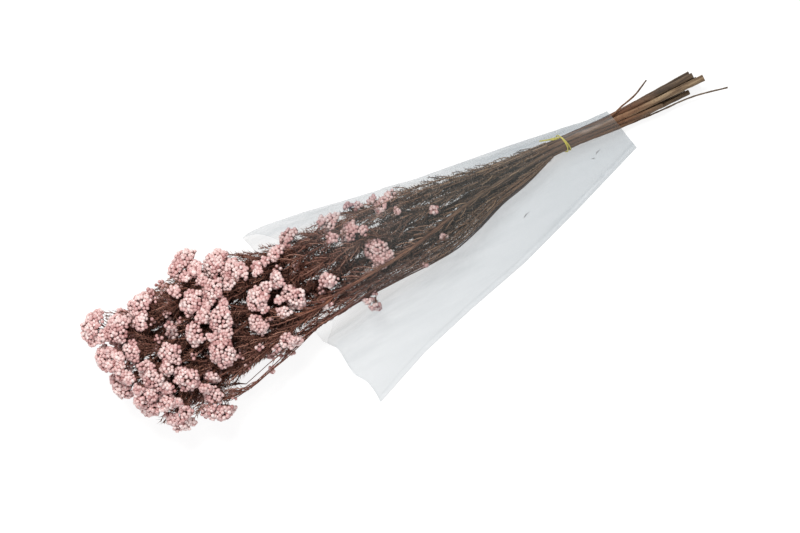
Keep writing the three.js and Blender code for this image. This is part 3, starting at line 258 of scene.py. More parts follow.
def smooth_line(points, step=STEP):
    """A smooth line through points, in even short steps."""
    points = np.asarray(points, float)
    at = lengths_along(points)
    slopes = np.gradient(points, at, axis=0)
    count = max(3, int(at[-1] / step))
    s = np.linspace(0, at[-1], count)
    k = np.clip(np.searchsorted(at, s, side="right") - 1, 0, len(at) - 2)
    span = (at[k + 1] - at[k])[:, None]
    t = (s[:, None] - at[k][:, None]) / span
    start, end, leave, arrive = curve_weights(t)
    return (
        start * points[k] + leave * span * slopes[k] + end * points[k + 1] + arrive * span * slopes[k + 1]
    )


class Line:
    """A line of wood or leaves, with its length and directions at each point, and the stem it belongs to."""

    def __init__(self, points, radii, kind="", stem=0):
        self.points, self.kind, self.stem = points, kind, stem
        self.radii = np.broadcast_to(np.asarray(radii, float), len(points))
        self.at = lengths_along(points)
        self.length = self.at[-1]
        self.along = unit(np.gradient(points, self.at, axis=0))
        across = np.zeros_like(points)
        side = np.array([0.0, 0.0, 1.0])
        for i, along in enumerate(self.along):
            side = unit(side - along * side.dot(along))
            across[i] = side
        self.across = across

    def walk(self, s):
        """Points, directions along and across, and radii at lengths along the line."""
        s = np.asarray(s, float)
        take = lambda values: np.stack([np.interp(s, self.at, values[:, k]) for k in range(3)], -1)
        along = unit(take(self.along))
        across = take(self.across)
        across = unit(across - along * (across * along).sum(-1, keepdims=True))
        return take(self.points), along, across, np.interp(s, self.at, self.radii)


class Head:
    """A head's dome: where it stands, which way it faces, and where its stalk meets it."""

    def __init__(self, number, middle, breadth):
        self.number = number
        self.middle = np.array(middle, float)
        self.half = breadth / 2
        self.front = HEAD_FRONT * breadth
        self.back = HEAD_BACK * breadth
        self.turn_to(dome_axis(self.middle))

    def turn_to(self, axis):
        self.axis = unit(axis)
        self.tip = self.middle - self.axis * (self.back + STALK_GAP)
        self.stalk = self.tip - self.axis * (STALK_SHARE * self.half + STALK_LENGTH)


def in_heads(points, margin=0.0):
    """Whether points lie inside any head."""
    inside = np.zeros(points.shape[:-1], bool)
    for head in heads:
        d = points - head.middle
        along = d @ head.axis
        side = np.sqrt(np.maximum((d**2).sum(-1) - along**2, 0))
        depth = np.where(along > 0, head.front, head.back) + margin
        inside |= np.hypot(along / depth, side / (head.half + margin)) < 1
    return inside


def edges_at(station):
    """The y of the sleeve's upper and lower edge."""
    t = np.clip((NARROW_X - station) / (NARROW_X - MOUTH_X), 0, 1)
    return [edge[0] + t * (edge[1] - edge[0]) for edge in (UPPER_EDGE, LOWER_EDGE)]


def cover_height(y, oy, ow, top):
    """The film's height over the bunch's lower side, down to the flat flap."""
    flap = 2 * FILM + FLAP_GAP
    t = np.maximum((oy - y) / (ow + SLEEVE_CLEAR), 0)
    return flap + (top - flap) * np.exp(-((t / DRAPE_REACH) ** 4))


def crown_height(share, top):
    """The film's height from the bunch's top, where share is 0, to its upper edge, where it is 1."""
    return top / 2 * (1 + (1 - share**CROWN_POWER) ** (1 / CROWN_POWER))


def heel_height(share, top):
    """The height of the film's underside: flat on the ground, then rising to the upper edge."""
    heel = np.clip((share - FLAT_SHARE) / (1 - FLAT_SHARE), 0, 1)
    return top / 2 * (1 - np.sqrt(1 - heel**2))


def film_room(x, y):
    """The film's lowest and highest inner face over places, and which of them the sleeve holds."""
    station = x + SKEW * (y - SKEW_Y)
    oy, oz, ow, oh = outline_at(station)
    upper, _ = edges_at(station)
    upper = np.maximum(upper, oy + ow + SLEEVE_CLEAR + FILM)
    top = oz + oh + FILM + SLEEVE_CLEAR
    share = np.clip((y - oy) / (upper - oy), 0, 1)
    high = np.where(y > oy, crown_height(share, top), cover_height(y, oy, ow, top))
    held = (station > MOUTH_X - HELD_BEYOND) & (station < NARROW_X + HELD_BEYOND)
    return heel_height(share, top) + FILM, high - FILM, held


def kept_in(points, room, ground, least=0.0):
    """Points moved up or down until they have room inside the film, or stand above the ground beyond it."""
    low, high, held = film_room(points[:, 0], points[:, 1])
    bottom = low + room
    inside = np.clip(points[:, 2], bottom, np.maximum(high - room, bottom + least))
    z = np.where(held, inside, np.maximum(points[:, 2], ground))
    return np.column_stack([points[:, 0], points[:, 1], z])


def tucked(points, room=0.3):
    """Points of leaves and stalks, drawn back under the film and above the ground."""
    return kept_in(points, room, GROUND_ROOM, LEAST_ROOM)


# Work on one piece at a time, as by hand


def deselect():
    if bpy.context.object and bpy.context.object.mode != "OBJECT":
        bpy.ops.object.mode_set(mode="OBJECT")
    bpy.ops.object.select_all(action="DESELECT")


def pick(test, kind="faces"):
    """In edit mode, selects the faces or vertices whose place passes the test."""
    bpy.ops.mesh.select_mode(type="FACE" if kind == "faces" else "VERT")
    bpy.ops.mesh.select_all(action="DESELECT")
    mesh = bmesh.from_edit_mesh(bpy.context.object.data)
    for part in getattr(mesh, kind):
        part.select_set(bool(test(part.calc_center_median() if kind == "faces" else part.co)))
    mesh.select_flush_mode()
    bmesh.update_edit_mesh(bpy.context.object.data)


def pull(move, size=1.0):
    """Extrudes what is selected and moves and resizes its end."""
    bpy.ops.mesh.extrude_region_move(TRANSFORM_OT_translate={"value": move})
    bpy.ops.transform.resize(value=(size, size, size))


def taken_shape():
    """The finished shape in hand as arrays, and the piece put away."""
    bpy.ops.mesh.select_all(action="SELECT")
    bpy.ops.mesh.normals_make_consistent(inside=False)
    bpy.ops.object.mode_set(mode="OBJECT")
    piece = bpy.context.object
    points = np.array([v.co for v in piece.data.vertices])
    faces = {}
    # A ball's faces come in another order at each run, so they are sorted
    for corners in sorted(list(face.vertices) for face in piece.data.polygons):
        faces.setdefault(len(corners), []).append(corners)
    bpy.data.objects.remove(piece, do_unlink=True)
    return {"points": points, "faces": [np.array(f) for f in faces.values()]}


def model_bud():
    """A round closed bud with a flattened top and a short drawn neck."""
    deselect()
    bpy.ops.mesh.primitive_uv_sphere_add(segments=8, ring_count=4, radius=1)
    bpy.ops.object.mode_set(mode="EDIT")
    pick(lambda c: c.z > 0.95, "verts")
    bpy.ops.transform.translate(value=(0, 0, -0.1))
    pick(lambda c: c.z > 0.6 and c.xy.length > 0.1, "verts")
    bpy.ops.transform.resize(value=(1.1, 1.1, 1))
    pick(lambda c: c.z < -0.95, "verts")
    bpy.ops.transform.translate(value=(0, 0, -0.3))
    return taken_shape()


def model_inner_bud():
    """A plain small bud for the inside of a head."""
    deselect()
    bpy.ops.mesh.primitive_ico_sphere_add(subdivisions=1, radius=1.08)
    bpy.ops.object.mode_set(mode="EDIT")
    pick(lambda c: c.z < -0.95, "verts")
    bpy.ops.transform.translate(value=(0, 0, -0.25))
    return taken_shape()


def upright_cone(foot, end, depth, middle):
    """In edit mode, a three-sided cone with its foot down, its middle at a height."""
    deselect()
    bpy.ops.mesh.primitive_cone_add(
        vertices=3, radius1=foot, radius2=end, depth=depth, location=(0, 0, middle)
    )
    bpy.ops.object.transform_apply(location=True)
    bpy.ops.object.mode_set(mode="EDIT")


def model_needle():
    """A narrow leaf, one unit long, widest before its middle, that ends in a point."""
    upright_cone(1, 0, 0.6, 0.7)
    pick(lambda c: c.z < 0.45)
    bpy.ops.mesh.poke()
    pick(lambda c: c.z < 0.45 and c.xy.length < 0.1, "verts")
    bpy.ops.transform.translate(value=(0, 0, -0.4))
    return taken_shape()


def model_inner_needle():
    """A plain narrow leaf for the inside of the bunch, one unit long."""
    upright_cone(0.85, 0, 1, 0.5)
    return taken_shape()


def drawn_rod(sides, radius, sizes):
    """A rod, one unit long, drawn out in even steps that each resize its end."""
    deselect()
    bpy.ops.mesh.primitive_circle_add(vertices=sides, radius=radius, fill_type="NGON")
    bpy.ops.object.mode_set(mode="EDIT")
    bpy.ops.mesh.select_all(action="SELECT")
    for size in sizes:
        pull((0, 0, 1 / len(sizes)), size)
    return taken_shape()


def model_shoot():
    """A thin rod that tapers in four steps, so that it can bow."""
    return drawn_rod(3, 1.1, [0.94, 0.92, 0.9, 0.85])


def model_long_rod():
    """A thin rod in many short steps, so that it can follow a long line."""
    return drawn_rod(5, 1, [0.985] * 40)


def model_pedicel():
    """A short straight stalk, one unit long."""
    upright_cone(1, 0.8, 1, 0.5)
    return taken_shape()


def copies(shape, at, x_axes, y_axes, z_axes, bows=None):
    """The points of a shape's copies. A copy's three axes carry its size, and its bow bends its middle."""
    p = shape["points"]
    laid = (
        at[:, None]
        + p[None, :, 0:1] * x_axes[:, None]
        + p[None, :, 1:2] * y_axes[:, None]
        + p[None, :, 2:3] * z_axes[:, None]
    )
    if bows is not None:
        along = p[None, :, 2:3]
        laid += 4 * along * (1 - along) * bows[:, None]
    return laid.reshape(-1, 3)


def rods(shape, feet, ends, thick, bows=None):
    """Copies of a rod, each from its foot to its end."""
    run = ends - feet
    side = unit(np.cross(run, np.where(np.abs(unit(run)[:, 2:3]) > 0.9, [[1.0, 0, 0]], [[0, 0, 1.0]])))
    thick = np.broadcast_to(np.asarray(thick, float), len(feet))[:, None]
    return copies(shape, feet, side * thick, unit(np.cross(run, side)) * thick, run, bows)


def set_mark(mesh, label, values):
    """Keeps a number for each vertex, which a finish reads by its label."""
    mesh.attributes.new(label, "FLOAT", "POINT").data.foreach_set("value", values)


class Gathering:
    """Copies of modelled shapes, gathered into one piece."""

    def __init__(self):
        self.points, self.faces, self.finish, self.tones, self.heights = [], [], [], [], []
        self.count = 0

    def add(self, shape, points, finish, tone):
        """Adds laid copies, with the number of their finish and a tone for each copy."""
        each = len(shape["points"])
        n = len(points) // each
        if not n:
            return
        starts = self.count + np.arange(n)[:, None, None] * each
        for faces in shape["faces"]:
            block = (faces[None] + starts).reshape(-1, faces.shape[1])
            self.faces.extend(block.tolist())
            self.finish.append(np.full(len(block), finish))
        z = shape["points"][:, 2]
        height = (z - z.min()) / (z.max() - z.min())
        self.points.append(points)
        self.tones.append(np.repeat(np.asarray(tone, float), each))
        self.heights.append(np.tile(height, n))
        self.count += len(points)

    def piece(self, name, finishes):
        mesh = bpy.data.meshes.new(name)
        mesh.from_pydata(placed(np.concatenate(self.points)), [], self.faces)
        set_mark(mesh, "tone", np.concatenate(self.tones))
        set_mark(mesh, "height", np.concatenate(self.heights))
        for finish in finishes:
            mesh.materials.append(finish)
        mesh.polygons.foreach_set("material_index", np.concatenate(self.finish).astype(np.int32))
        mesh.polygons.foreach_set("use_smooth", np.ones(len(mesh.polygons), bool))
        mesh.update()
        piece = bpy.data.objects.new(name, mesh)
        bpy.context.scene.collection.objects.link(piece)
        return piece


# Finishes


def shade(red, green, blue):
    """A colour as it looks on a screen, turned into the shader's own scale."""
    parts = [c / 255 / 12.92 if c <= 10 else ((c / 255 + 0.055) / 1.055) ** 2.4 for c in (red, green, blue)]
    return (*parts, 1.0)


class Finish:
    """A material that is put together node by node. Its patterns are sized in waves to the metre."""

    def __init__(self, name, **sockets):
        self.material = bpy.data.materials.new(name)
        self.material.use_nodes = True
        self.tree = self.material.node_tree
        self.shader = self.tree.nodes["Principled BSDF"]
        for label, value in sockets.items():
            self.shader.inputs[label.replace("_", " ")].default_value = value

    def add(self, kind, inputs=(), **settings):
        node = self.tree.nodes.new(kind)
        for label, value in settings.items():
            setattr(node, label, value)
        for label, value in dict(inputs).items():
            self.feed(value, node.inputs[label])
        return node

    def feed(self, value, socket):
        if isinstance(value, bpy.types.NodeSocket):
            self.tree.links.new(value, socket)
        else:
            socket.default_value = value

    def place(self, stretch=(1, 1, 1)):
        spot = self.add("ShaderNodeTexCoord").outputs["Object"]
        return self.add("ShaderNodeMapping", {"Vector": spot, "Scale": stretch}).outputs["Vector"]

    def grain(self, scale, detail=3.0, stretch=(1, 1, 1)):
        inputs = {"Vector": self.place(stretch), "Scale": scale, "Detail": detail}
        return self.add("ShaderNodeTexNoise", inputs).outputs["Fac"]

    def mark(self, label):
        """The number that set_mark kept on the piece."""
        return self.add("ShaderNodeAttribute", attribute_name=label).outputs["Fac"]

    def ramp(self, value, stops):
        node = self.add("ShaderNodeValToRGB", {"Fac": value})
        while len(node.color_ramp.elements) < len(stops):
            node.color_ramp.elements.new(0.5)
        for element, (at, colour) in zip(node.color_ramp.elements, stops):
            element.position = at
            element.color = colour
        return node.outputs["Color"]

    def reach(self, value, low, high, to_low=0.0, to_high=1.0):
        """A value's run from low to high, carried over to another run and held at its ends."""
        inputs = {"Value": value, "From Min": low, "From Max": high, "To Min": to_low, "To Max": to_high}
        return self.add("ShaderNodeMapRange", inputs).outputs["Result"]

    def mix(self, share, first, second, way="MIX"):
        node = self.add("ShaderNodeMix", data_type="RGBA", blend_type=way)
        for value, socket in ((share, node.inputs[0]), (first, node.inputs[6]), (second, node.inputs[7])):
            self.feed(value, socket)
        return node.outputs[2]

    def sum(self, first, second, way="ADD"):
        """Two numbers added, or joined in the way that is named."""
        node = self.add("ShaderNodeMath", operation=way)
        self.feed(first, node.inputs[0])
        self.feed(second, node.inputs[1])
        return node.outputs[0]

    def along_bunch(self):
        """The place along the bunch, in the part's own metres."""
        spot = self.add("ShaderNodeTexCoord").outputs["Object"]
        return self.add("ShaderNodeSeparateXYZ", {"Vector": spot}).outputs["X"]

    def colour(self, value):
        self.feed(value, self.shader.inputs["Base Color"])

    def bump(self, height, strength, distance):
        node = self.add("ShaderNodeBump", {"Height": height, "Strength": strength, "Distance": distance})
        self.feed(node.outputs["Normal"], self.shader.inputs["Normal"])


def bud_finish():
    """Dusty pink, paler on some buds, with a painted shade of rosy brown towards each bud's foot."""
    f = Finish("bud_pink", Roughness=0.34, Specular_IOR_Level=0.6)
    body = f.ramp(f.mark("tone"), [
        (0.0, shade(172, 118, 115)), (0.3, shade(216, 170, 167)),
        (0.65, shade(238, 206, 202)), (1.0, shade(252, 234, 230)),
    ])
    mottle = f.grain(700, 2.0)
    body = f.mix(f.reach(mottle, 0.3, 0.75, 0.0, 0.3), body, shade(214, 164, 164))
    # Painted shade: each bud darkens to rosy brown towards its foot, where the buds meet.
    foot = f.reach(f.mark("height"), 0.1, 0.62, 0.85, 0.0)
    f.colour(f.mix(foot, body, shade(144, 88, 80)))
    f.bump(f.grain(1500, 2.0), 0.25, 0.0003)
    return f.material


def stalk_finish():
    """The thin stalks and shoots: reddish brown under the buds, and tan towards the band."""
    f = Finish("stalk_brown", Roughness=0.7)
    red = f.ramp(f.mark("tone"), [
        (0.0, shade(104, 62, 52)), (0.5, shade(146, 98, 84)), (1.0, shade(186, 138, 120)),
    ])
    tan = f.ramp(f.mark("tone"), [
        (0.0, shade(96, 74, 56)), (0.5, shade(144, 116, 90)), (1.0, shade(188, 160, 128)),
    ])
    f.colour(f.mix(f.reach(f.along_bunch(), -0.08, 0.05, 0.0, 0.9), red, tan))
    f.bump(f.grain(1200, 2.0), 0.3, 0.0002)
    return f.material


def leaf_finish():
    """Dry needle leaves: red brown among the heads, and grey brown towards the band."""
    f = Finish("leaf_brown", Roughness=0.72)
    red = f.ramp(f.mark("tone"), [
        (0.0, shade(58, 35, 28)), (0.3, shade(106, 67, 54)),
        (0.7, shade(152, 101, 84)), (1.0, shade(200, 152, 132)),
    ])
    grey = f.ramp(f.mark("tone"), [
        (0.0, shade(42, 34, 28)), (0.3, shade(86, 75, 65)),
        (0.7, shade(132, 118, 106)), (1.0, shade(204, 189, 173)),
    ])
    body = f.mix(f.reach(f.along_bunch(), -0.1, 0.04, 0.0, 0.9), red, grey)
    f.colour(f.mix(f.reach(f.grain(260, 2.0), 0.35, 0.7, 0.0, 0.4), body, shade(74, 44, 35)))
    f.bump(f.grain(900, 2.0), 0.3, 0.0002)
    return f.material


def bark_finish():
    """Dry bark, streaked along the stems, greyer at the cut ends, each stem with a tone of its own."""
    f = Finish("bark", Roughness=0.78)
    streaks = f.grain(9, 4.0, (5, 60, 60))
    dark = f.ramp(streaks, [(0.3, shade(34, 26, 20)), (0.5, shade(62, 48, 36)), (0.7, shade(94, 75, 57))])
    light = f.ramp(streaks, [
        (0.3, shade(82, 63, 45)), (0.5, shade(126, 103, 78)), (0.7, shade(168, 146, 116)),
    ])
    low = f.mix(f.mark("tone"), dark, light)
    from_ends = f.reach(f.along_bunch(), 0.265, 0.225, 0.0, 0.5)
    from_foliage = f.reach(f.along_bunch(), 0.11, 0.19, 0.2, 1.0)
    low = f.mix(f.sum(from_ends, from_foliage, "MULTIPLY"), low, shade(132, 82, 52))
    high = f.ramp(streaks, [
        (0.3, shade(84, 48, 37)), (0.52, shade(124, 76, 58)), (0.72, shade(160, 108, 82)),
    ])
    body = f.mix(f.reach(f.along_bunch(), -0.1, 0.08), high, low)
    f.colour(f.mix(f.reach(f.grain(420, 3.0), 0.55, 0.75, 0.0, 0.55), body, shade(44, 31, 25)))
    f.bump(f.sum(streaks, f.grain(700, 3.0)), 0.6, 0.0006)
    return f.material


def cut_finish():
    """The pale sawn face of a stem, mottled lighter and darker."""
    f = Finish("cut_wood", Roughness=0.8)
    f.colour(f.ramp(f.grain(900, 3.0), [
        (0.3, shade(112, 84, 62)), (0.55, shade(160, 128, 98)), (0.8, shade(190, 160, 128)),
    ]))
    f.bump(f.grain(1400, 3.0), 0.4, 0.0003)
    return f.material


def rubber_finish():
    """Satin yellow rubber, a little paler in patches."""
    f = Finish("band_yellow", Roughness=0.42)
    f.colour(f.ramp(f.grain(500, 2.0), [
        (0.3, shade(214, 200, 62)), (0.6, shade(236, 224, 88)), (0.8, shade(244, 236, 120)),
    ]))
    f.bump(f.grain(900, 2.0), 0.2, 0.0002)
    return f.material


FILM_HAZE = 0.066  # how much the film hides at its mouth
FILM_STREAKS = 0.035
FILM_NARROW_HAZE = 0.07  # and how much more at its narrow end
WELD_HAZE = 0.03


def film_finish():
    """Thin clear film with a frosty haze in streaks along the bunch, denser at its welded seam."""
    f = Finish("film_clear", Roughness=0.28, IOR=1.48)
    beside_bunch = f.reach(f.mark("veil"), 0.98, 1.0)
    f.colour(f.mix(beside_bunch, shade(124, 127, 126), shade(112, 133, 146)))
    streaks = f.reach(f.grain(16, 4.0, (1.2, 7, 7)), 0.38, 0.66, 0.0, FILM_STREAKS)
    patches = f.sum(streaks, f.reach(f.mark("over"), 0, 1, 0.15, 1.0), "MULTIPLY")
    haze = f.sum(patches, f.reach(f.along_bunch(), -0.12, 0.2, FILM_HAZE, FILM_HAZE + FILM_NARROW_HAZE))
    haze = f.sum(haze, f.mark("veil"), "MULTIPLY")
    haze = f.sum(haze, f.sum(f.mark("weld"), WELD_HAZE, "MULTIPLY"))
    f.feed(haze, f.shader.inputs["Alpha"])
    f.bump(f.grain(24, 2.0, (1, 5, 5)), 0.06, 0.001)
    return f.material


# Lines of wood

STEM_TONES = [0.12, 0.95, 0.05, 0.6, 0.4, 0.25, 0.5, 0.35, 0.2, 0.5]
KNOT_SIZE = 5.0
BARK_RELIEF = 0.7
CUT_DEPTH, CUT_REACH = 0.6, 2.0  # what lies this near a stem's end is its sawn face
CUT_RIM, CUT_SINK = 0.4, 0.3


def random_of(part, number=0):
    """A source of chance of its own for each kind of part and each number."""
    return np.random.RandomState(SEED + 1000 * part + number)


def radii_along(kind, stem, points):
    """A line's radius at each of its points. A stem is thinnest where the band holds it, and at its tip."""
    at = lengths_along(points)
    if kind == "branch":
        return np.interp(at, [0, at[-1]], [BRANCH_ROOT, BRANCH_TIP])
    band = int(np.argmax(points[:, 0] <= BAND_X))
    if kind == "twig":
        return np.interp(at, [0, at[-1]], [TWIG_RADIUS, TWIG_RADIUS])
    y, z, _, _ = outline_at(BAND_X)
    middle = np.hypot(points[band, 1] - y, points[band, 2] - z) < MIDDLE_STEM_REACH
    held = MIDDLE_BAND_RADIUS if middle else BAND_RADIUS
    return np.interp(at, [0, at[band], at[-1]], [CUT_RADII[stem - 1], held, STEM_TIP])


heads, lines = [], []
for kind, stem, number, middle, breadth, through in ROUTES:
    head = Head(number, middle, breadth)
    points = smooth_line([*through, head.stalk, head.tip])
    heads.append(head)
    lines.append(Line(points, radii_along(kind, stem, points), kind, stem))


def start_curve(radius, roundness):
    """A curve in hand with a round section, as wide as this radius times that of each of its points."""
    deselect()
    bpy.ops.curve.primitive_nurbs_path_add()
    curve = bpy.context.object.data
    curve.splines.clear()
    curve.bevel_depth = radius * MM
    curve.bevel_resolution = roundness
    return curve


def add_path(curve, points, radii=1.0, closed=False):
    """A path of straight steps through points."""
    spline = curve.splines.new("POLY")
    spline.points.add(len(points) - 1)
    spline.points.foreach_set("co", np.column_stack([placed(points), np.ones(len(points))]).ravel())
    spline.points.foreach_set("radius", np.full(len(points), radii))
    spline.use_cyclic_u = closed


def curve_made_piece(name, finishes):
    """The curve in hand as a mesh, with its name and finishes."""
    bpy.ops.object.convert(target="MESH")
    piece = bpy.context.object
    piece.name = piece.data.name = name
    piece.data.materials.clear()
    for finish in finishes:
        piece.data.materials.append(finish)
    return piece


def model_wood(number, finishes):
    """A stem's trunk and branches, drawn as paths with a round section, and its sawn end."""
    curve = start_curve(1.0, 2)
    curve.use_fill_caps = True
    mine = [line for line in lines if line.stem == number]
    for line in mine:
        add_path(curve, line.points, line.radii)
    piece = curve_made_piece(f"wood_{number:02d}", finishes)
    knots = bpy.data.textures.new(f"knots_{number:02d}", "CLOUDS")
    knots.noise_scale = KNOT_SIZE * MM
    rough = piece.modifiers.new("bark_relief", "DISPLACE")
    rough.texture = knots
    rough.texture_coords = "LOCAL"
    rough.strength = BARK_RELIEF * MM
    rough.mid_level = 0.5
    bpy.ops.object.modifier_apply(modifier="bark_relief")
    set_mark(piece.data, "tone", np.full(len(piece.data.vertices), STEM_TONES[number - 1]))
    saw_end(mine[0])
    bpy.ops.object.shade_smooth_by_angle(angle=math.radians(50))
    return piece


def saw_end(line):
    """Sinks the pale middle of a stem's sawn face a little inside its rim."""
    end = Vector(placed(line.points[0]))
    way = Vector(line.along[0])
    bpy.ops.object.mode_set(mode="EDIT")
    pick(lambda c: abs((c - end).dot(way)) < CUT_DEPTH * MM and (c - end).length < CUT_REACH * MM)
    bpy.ops.mesh.dissolve_faces()
    bpy.ops.mesh.inset(thickness=CUT_RIM * MM)
    bpy.ops.transform.translate(value=way * CUT_SINK * MM)
    bpy.context.object.active_material_index = 1
    bpy.ops.object.material_slot_assign()
    bpy.ops.object.mode_set(mode="OBJECT")


# Heads of buds

BUD_RADIUS = 2.0
BUD_PITCH = 4.15
BUD_LIMIT = 2.0  # how far round from a dome's top its buds reach, in radians
BUD_LENGTH = 1.04
BUDS_IN_CLUSTER = 8
FEWEST_BUDS, FEWEST_CLUSTERS = 9, 3
DOME_BACK = 1.3  # the buds stand out past the head's own back by this
CLOSE_PACKED = 0.866  # the ground of one bud, against the square of the pitch
SPOTS_TRIED = 14  # for each bud
BUD, STALK, LEAF = 0, 1, 2  # a head's finishes, in their order
THIN_ROOM = 0.2
CLUSTER_REACH = 5.5
CLUSTER_SAG = 1.9  # how far a cluster's outer buds stand below its middle
INNER_SHARE = 0.45
INNER_DEPTH = (2.8, 4.6)
NODE_DEPTH = 6.5  # where a cluster's stalks leave their ray, below the cluster's middle
RAY_RADIUS, PEDICEL_RADIUS, INNER_PEDICEL_RADIUS = 0.5, 0.24, 0.22
BUD_FILM_ROOM, BUD_GROUND_ROOM = 0.35, 0.2
RAY_LEAVES = 4
RAY_LEAF_LENGTH = (3.2, 6.0)
RAY_LEAF_WIDTH, RAY_LEAF_THICKNESS = 0.27, 0.18
STALK_LEAVES = 20  # and more by STALK_LEAF_SHARE for each millimetre of the head's half breadth
STALK_LEAF_SHARE = 3.0
STALK_LEAF_WIDTH, STALK_LEAF_THICKNESS = 0.6, 0.3


def round_ways(axis, turns):
    """Directions square to an axis, turned round it from level."""
    return across_ways(axis, unit(np.cross([0.0, 0.0, 1.0], axis)), turns)


def even_spots(points, count, random):
    """Picks spots that keep well apart, the farthest from all before it each time."""
    chosen = [random.randint(len(points))]
    gap = np.linalg.norm(points - points[chosen[0]], axis=1)
    while len(chosen) < min(count, len(points)):
        chosen.append(int(np.argmax(gap)))
        gap = np.minimum(gap, np.linalg.norm(points - points[chosen[-1]], axis=1))
    return chosen


def dome_depth(head, polar):
    """A dome's depth in front of its rim, and behind it."""
    return np.where(polar < math.pi / 2, head.front, head.back * DOME_BACK)


def dome_spots(head, random):
    """Spots over a head's dome: their places, the way out at each, and how far round the rim they are."""
    polar = np.linspace(0, BUD_LIMIT, 200)
    depth = dome_depth(head, polar)
    weight = np.hypot(head.half * np.cos(polar), depth * np.sin(polar)) * np.sin(polar) * head.half
    total = np.concatenate([[0], np.cumsum((weight[1:] + weight[:-1]) / 2 * (polar[1] - polar[0]))])
    area = total[-1] * 2 * math.pi
    count = max(FEWEST_BUDS, int(area / (BUD_PITCH**2 * CLOSE_PACKED)))
    many = count * SPOTS_TRIED
    polar = np.interp(random.uniform(0, total[-1], many), total, polar)
    turn = random.uniform(0, 2 * math.pi, many)
    round_way = round_ways(head.axis, turn)
    depth = dome_depth(head, polar)
    lumps = 0.94 + 0.06 * np.sin(2 * turn + random.uniform(0, 6))
    lumps += 0.06 * np.sin(5 * turn + random.uniform(0, 6))
    side = np.sin(polar) * head.half * lumps
    along = np.cos(polar) * depth
    places = head.middle + round_way * side[:, None] + head.axis * along[:, None]
    out = unit(round_way * (side / head.half**2)[:, None] + head.axis * (along / depth**2)[:, None])
    chosen = even_spots(places, count, random)
    return places, out, polar, chosen


def buds_in_room(centres, radius):
    """Bud middles kept a bud's radius inside the film and above the ground."""
    return kept_in(centres, radius + BUD_FILM_ROOM, radius + BUD_GROUND_ROOM)


def add_buds(gathered, shape, centres, ways, radii, tones, random):
    """Adds buds that face their ways, each at a turn of its own, and gives back where they ended up."""
    centres = buds_in_room(centres, radii)
    side = unit(np.cross(ways, random.normal(0, 1, ways.shape)))
    size = radii[:, None]
    laid = copies(shape, centres, side * size, np.cross(ways, side) * size, ways * size * BUD_LENGTH)
    gathered.add(shape, laid, BUD, np.clip(tones, 0, 1))
    return centres


def fill_head(gathered, head, random):
    """Clusters of buds on stalks that leave the wood one after another and end level in a dome."""
    places, out, polar, chosen = dome_spots(head, random)
    hubs = chosen[: max(FEWEST_CLUSTERS, len(chosen) // BUDS_IN_CLUSTER)]
    centres, ways = places[chosen], out[chosen]
    apart = np.linalg.norm(centres[:, None] - places[hubs][None], axis=2)
    cluster = apart.argmin(1)
    reach = np.minimum(apart.min(1) / CLUSTER_REACH, 1.2)
    n = len(chosen)
    radii = BUD_RADIUS * random.uniform(0.86, 1.08, n) * np.where(random.uniform(0, 1, n) < 0.08, 0.75, 1)
    rise = random.uniform(-1.7, 0.8, len(hubs))
    lift = rise[cluster] - CLUSTER_SAG * reach**2 + random.uniform(-0.7, 0.5, n)
    centres = centres + ways * lift[:, None]
    centres += (places[hubs][cluster] - centres) * 0.05 + random.normal(0, 0.22, centres.shape)
    ways = unit(ways + 0.4 * head.axis + random.normal(0, 0.25, ways.shape))
    shade_of = random.normal(0, 0.14, len(hubs))
    # Buds far round the dome's rim get a painted shade: their tone is lowered by up to 0.3.
    tones = 0.62 + shade_of[cluster] + random.normal(0, 0.2, n) - 0.3 * np.clip(polar[chosen] - 1.3, 0, 1)
    centres = add_buds(gathered, bud, centres, ways, radii, tones, random)

    under = random.choice(len(places), int(n * INNER_SHARE), replace=False)
    deep = places[under] - out[under] * random.uniform(*INNER_DEPTH, len(under))[:, None]
    deep_ways = unit(out[under] + head.axis * 0.5)
    inner_radii = BUD_RADIUS * random.uniform(0.7, 0.95, len(under))
    # Painted shade: the inner buds get dark tones so that they look shadowed deep in the head.
    inner_shade_tones = 0.12 + random.normal(0, 0.12, len(under))
    deep = add_buds(gathered, inner_bud, deep, deep_ways, inner_radii, inner_shade_tones, random)

    leave, nodes, bows = ray_places(head, places[hubs])
    rays = rods(rod_shape, leave, nodes, RAY_RADIUS, bows)
    gathered.add(rod_shape, tucked(rays), STALK, random.uniform(0.1, 0.7, len(hubs)))
    feet = nodes[cluster]
    stalks = rods(pedicel, feet, centres - ways * radii[:, None], PEDICEL_RADIUS)
    gathered.add(pedicel, tucked(stalks, THIN_ROOM), STALK, random.uniform(0.3, 1, n))
    near = np.linalg.norm(deep[:, None] - nodes[None], axis=2).argmin(1)
    stalks = rods(pedicel, nodes[near], deep, INNER_PEDICEL_RADIUS)
    gathered.add(pedicel, tucked(stalks, THIN_ROOM), STALK, random.uniform(0.2, 0.8, len(deep)))
    leafy_rays(gathered, leave, nodes - leave, bows, random)
    leafy_stalk(gathered, head, random)


def ray_places(head, hubs):
    """Where a head's rays leave the wood and end, and how they bow. Outer rays leave first."""
    to_tip = head.tip - hubs
    far = np.linalg.norm(to_tip, axis=1)
    nodes = hubs + unit(to_tip) * np.minimum(NODE_DEPTH, 0.62 * far)[:, None]
    sideways = hubs - head.middle
    sideways = np.linalg.norm(sideways - head.axis * (sideways @ head.axis)[:, None], axis=1) / head.half
    leave = head.tip - head.axis * (0.5 + (0.5 * head.half + 4) * np.clip(sideways, 0, 1.1))[:, None]
    sag = -0.1 * np.linalg.norm(nodes - leave, axis=1) * np.clip(sideways, 0.1, 1)
    return leave, nodes, head.axis * sag[:, None]


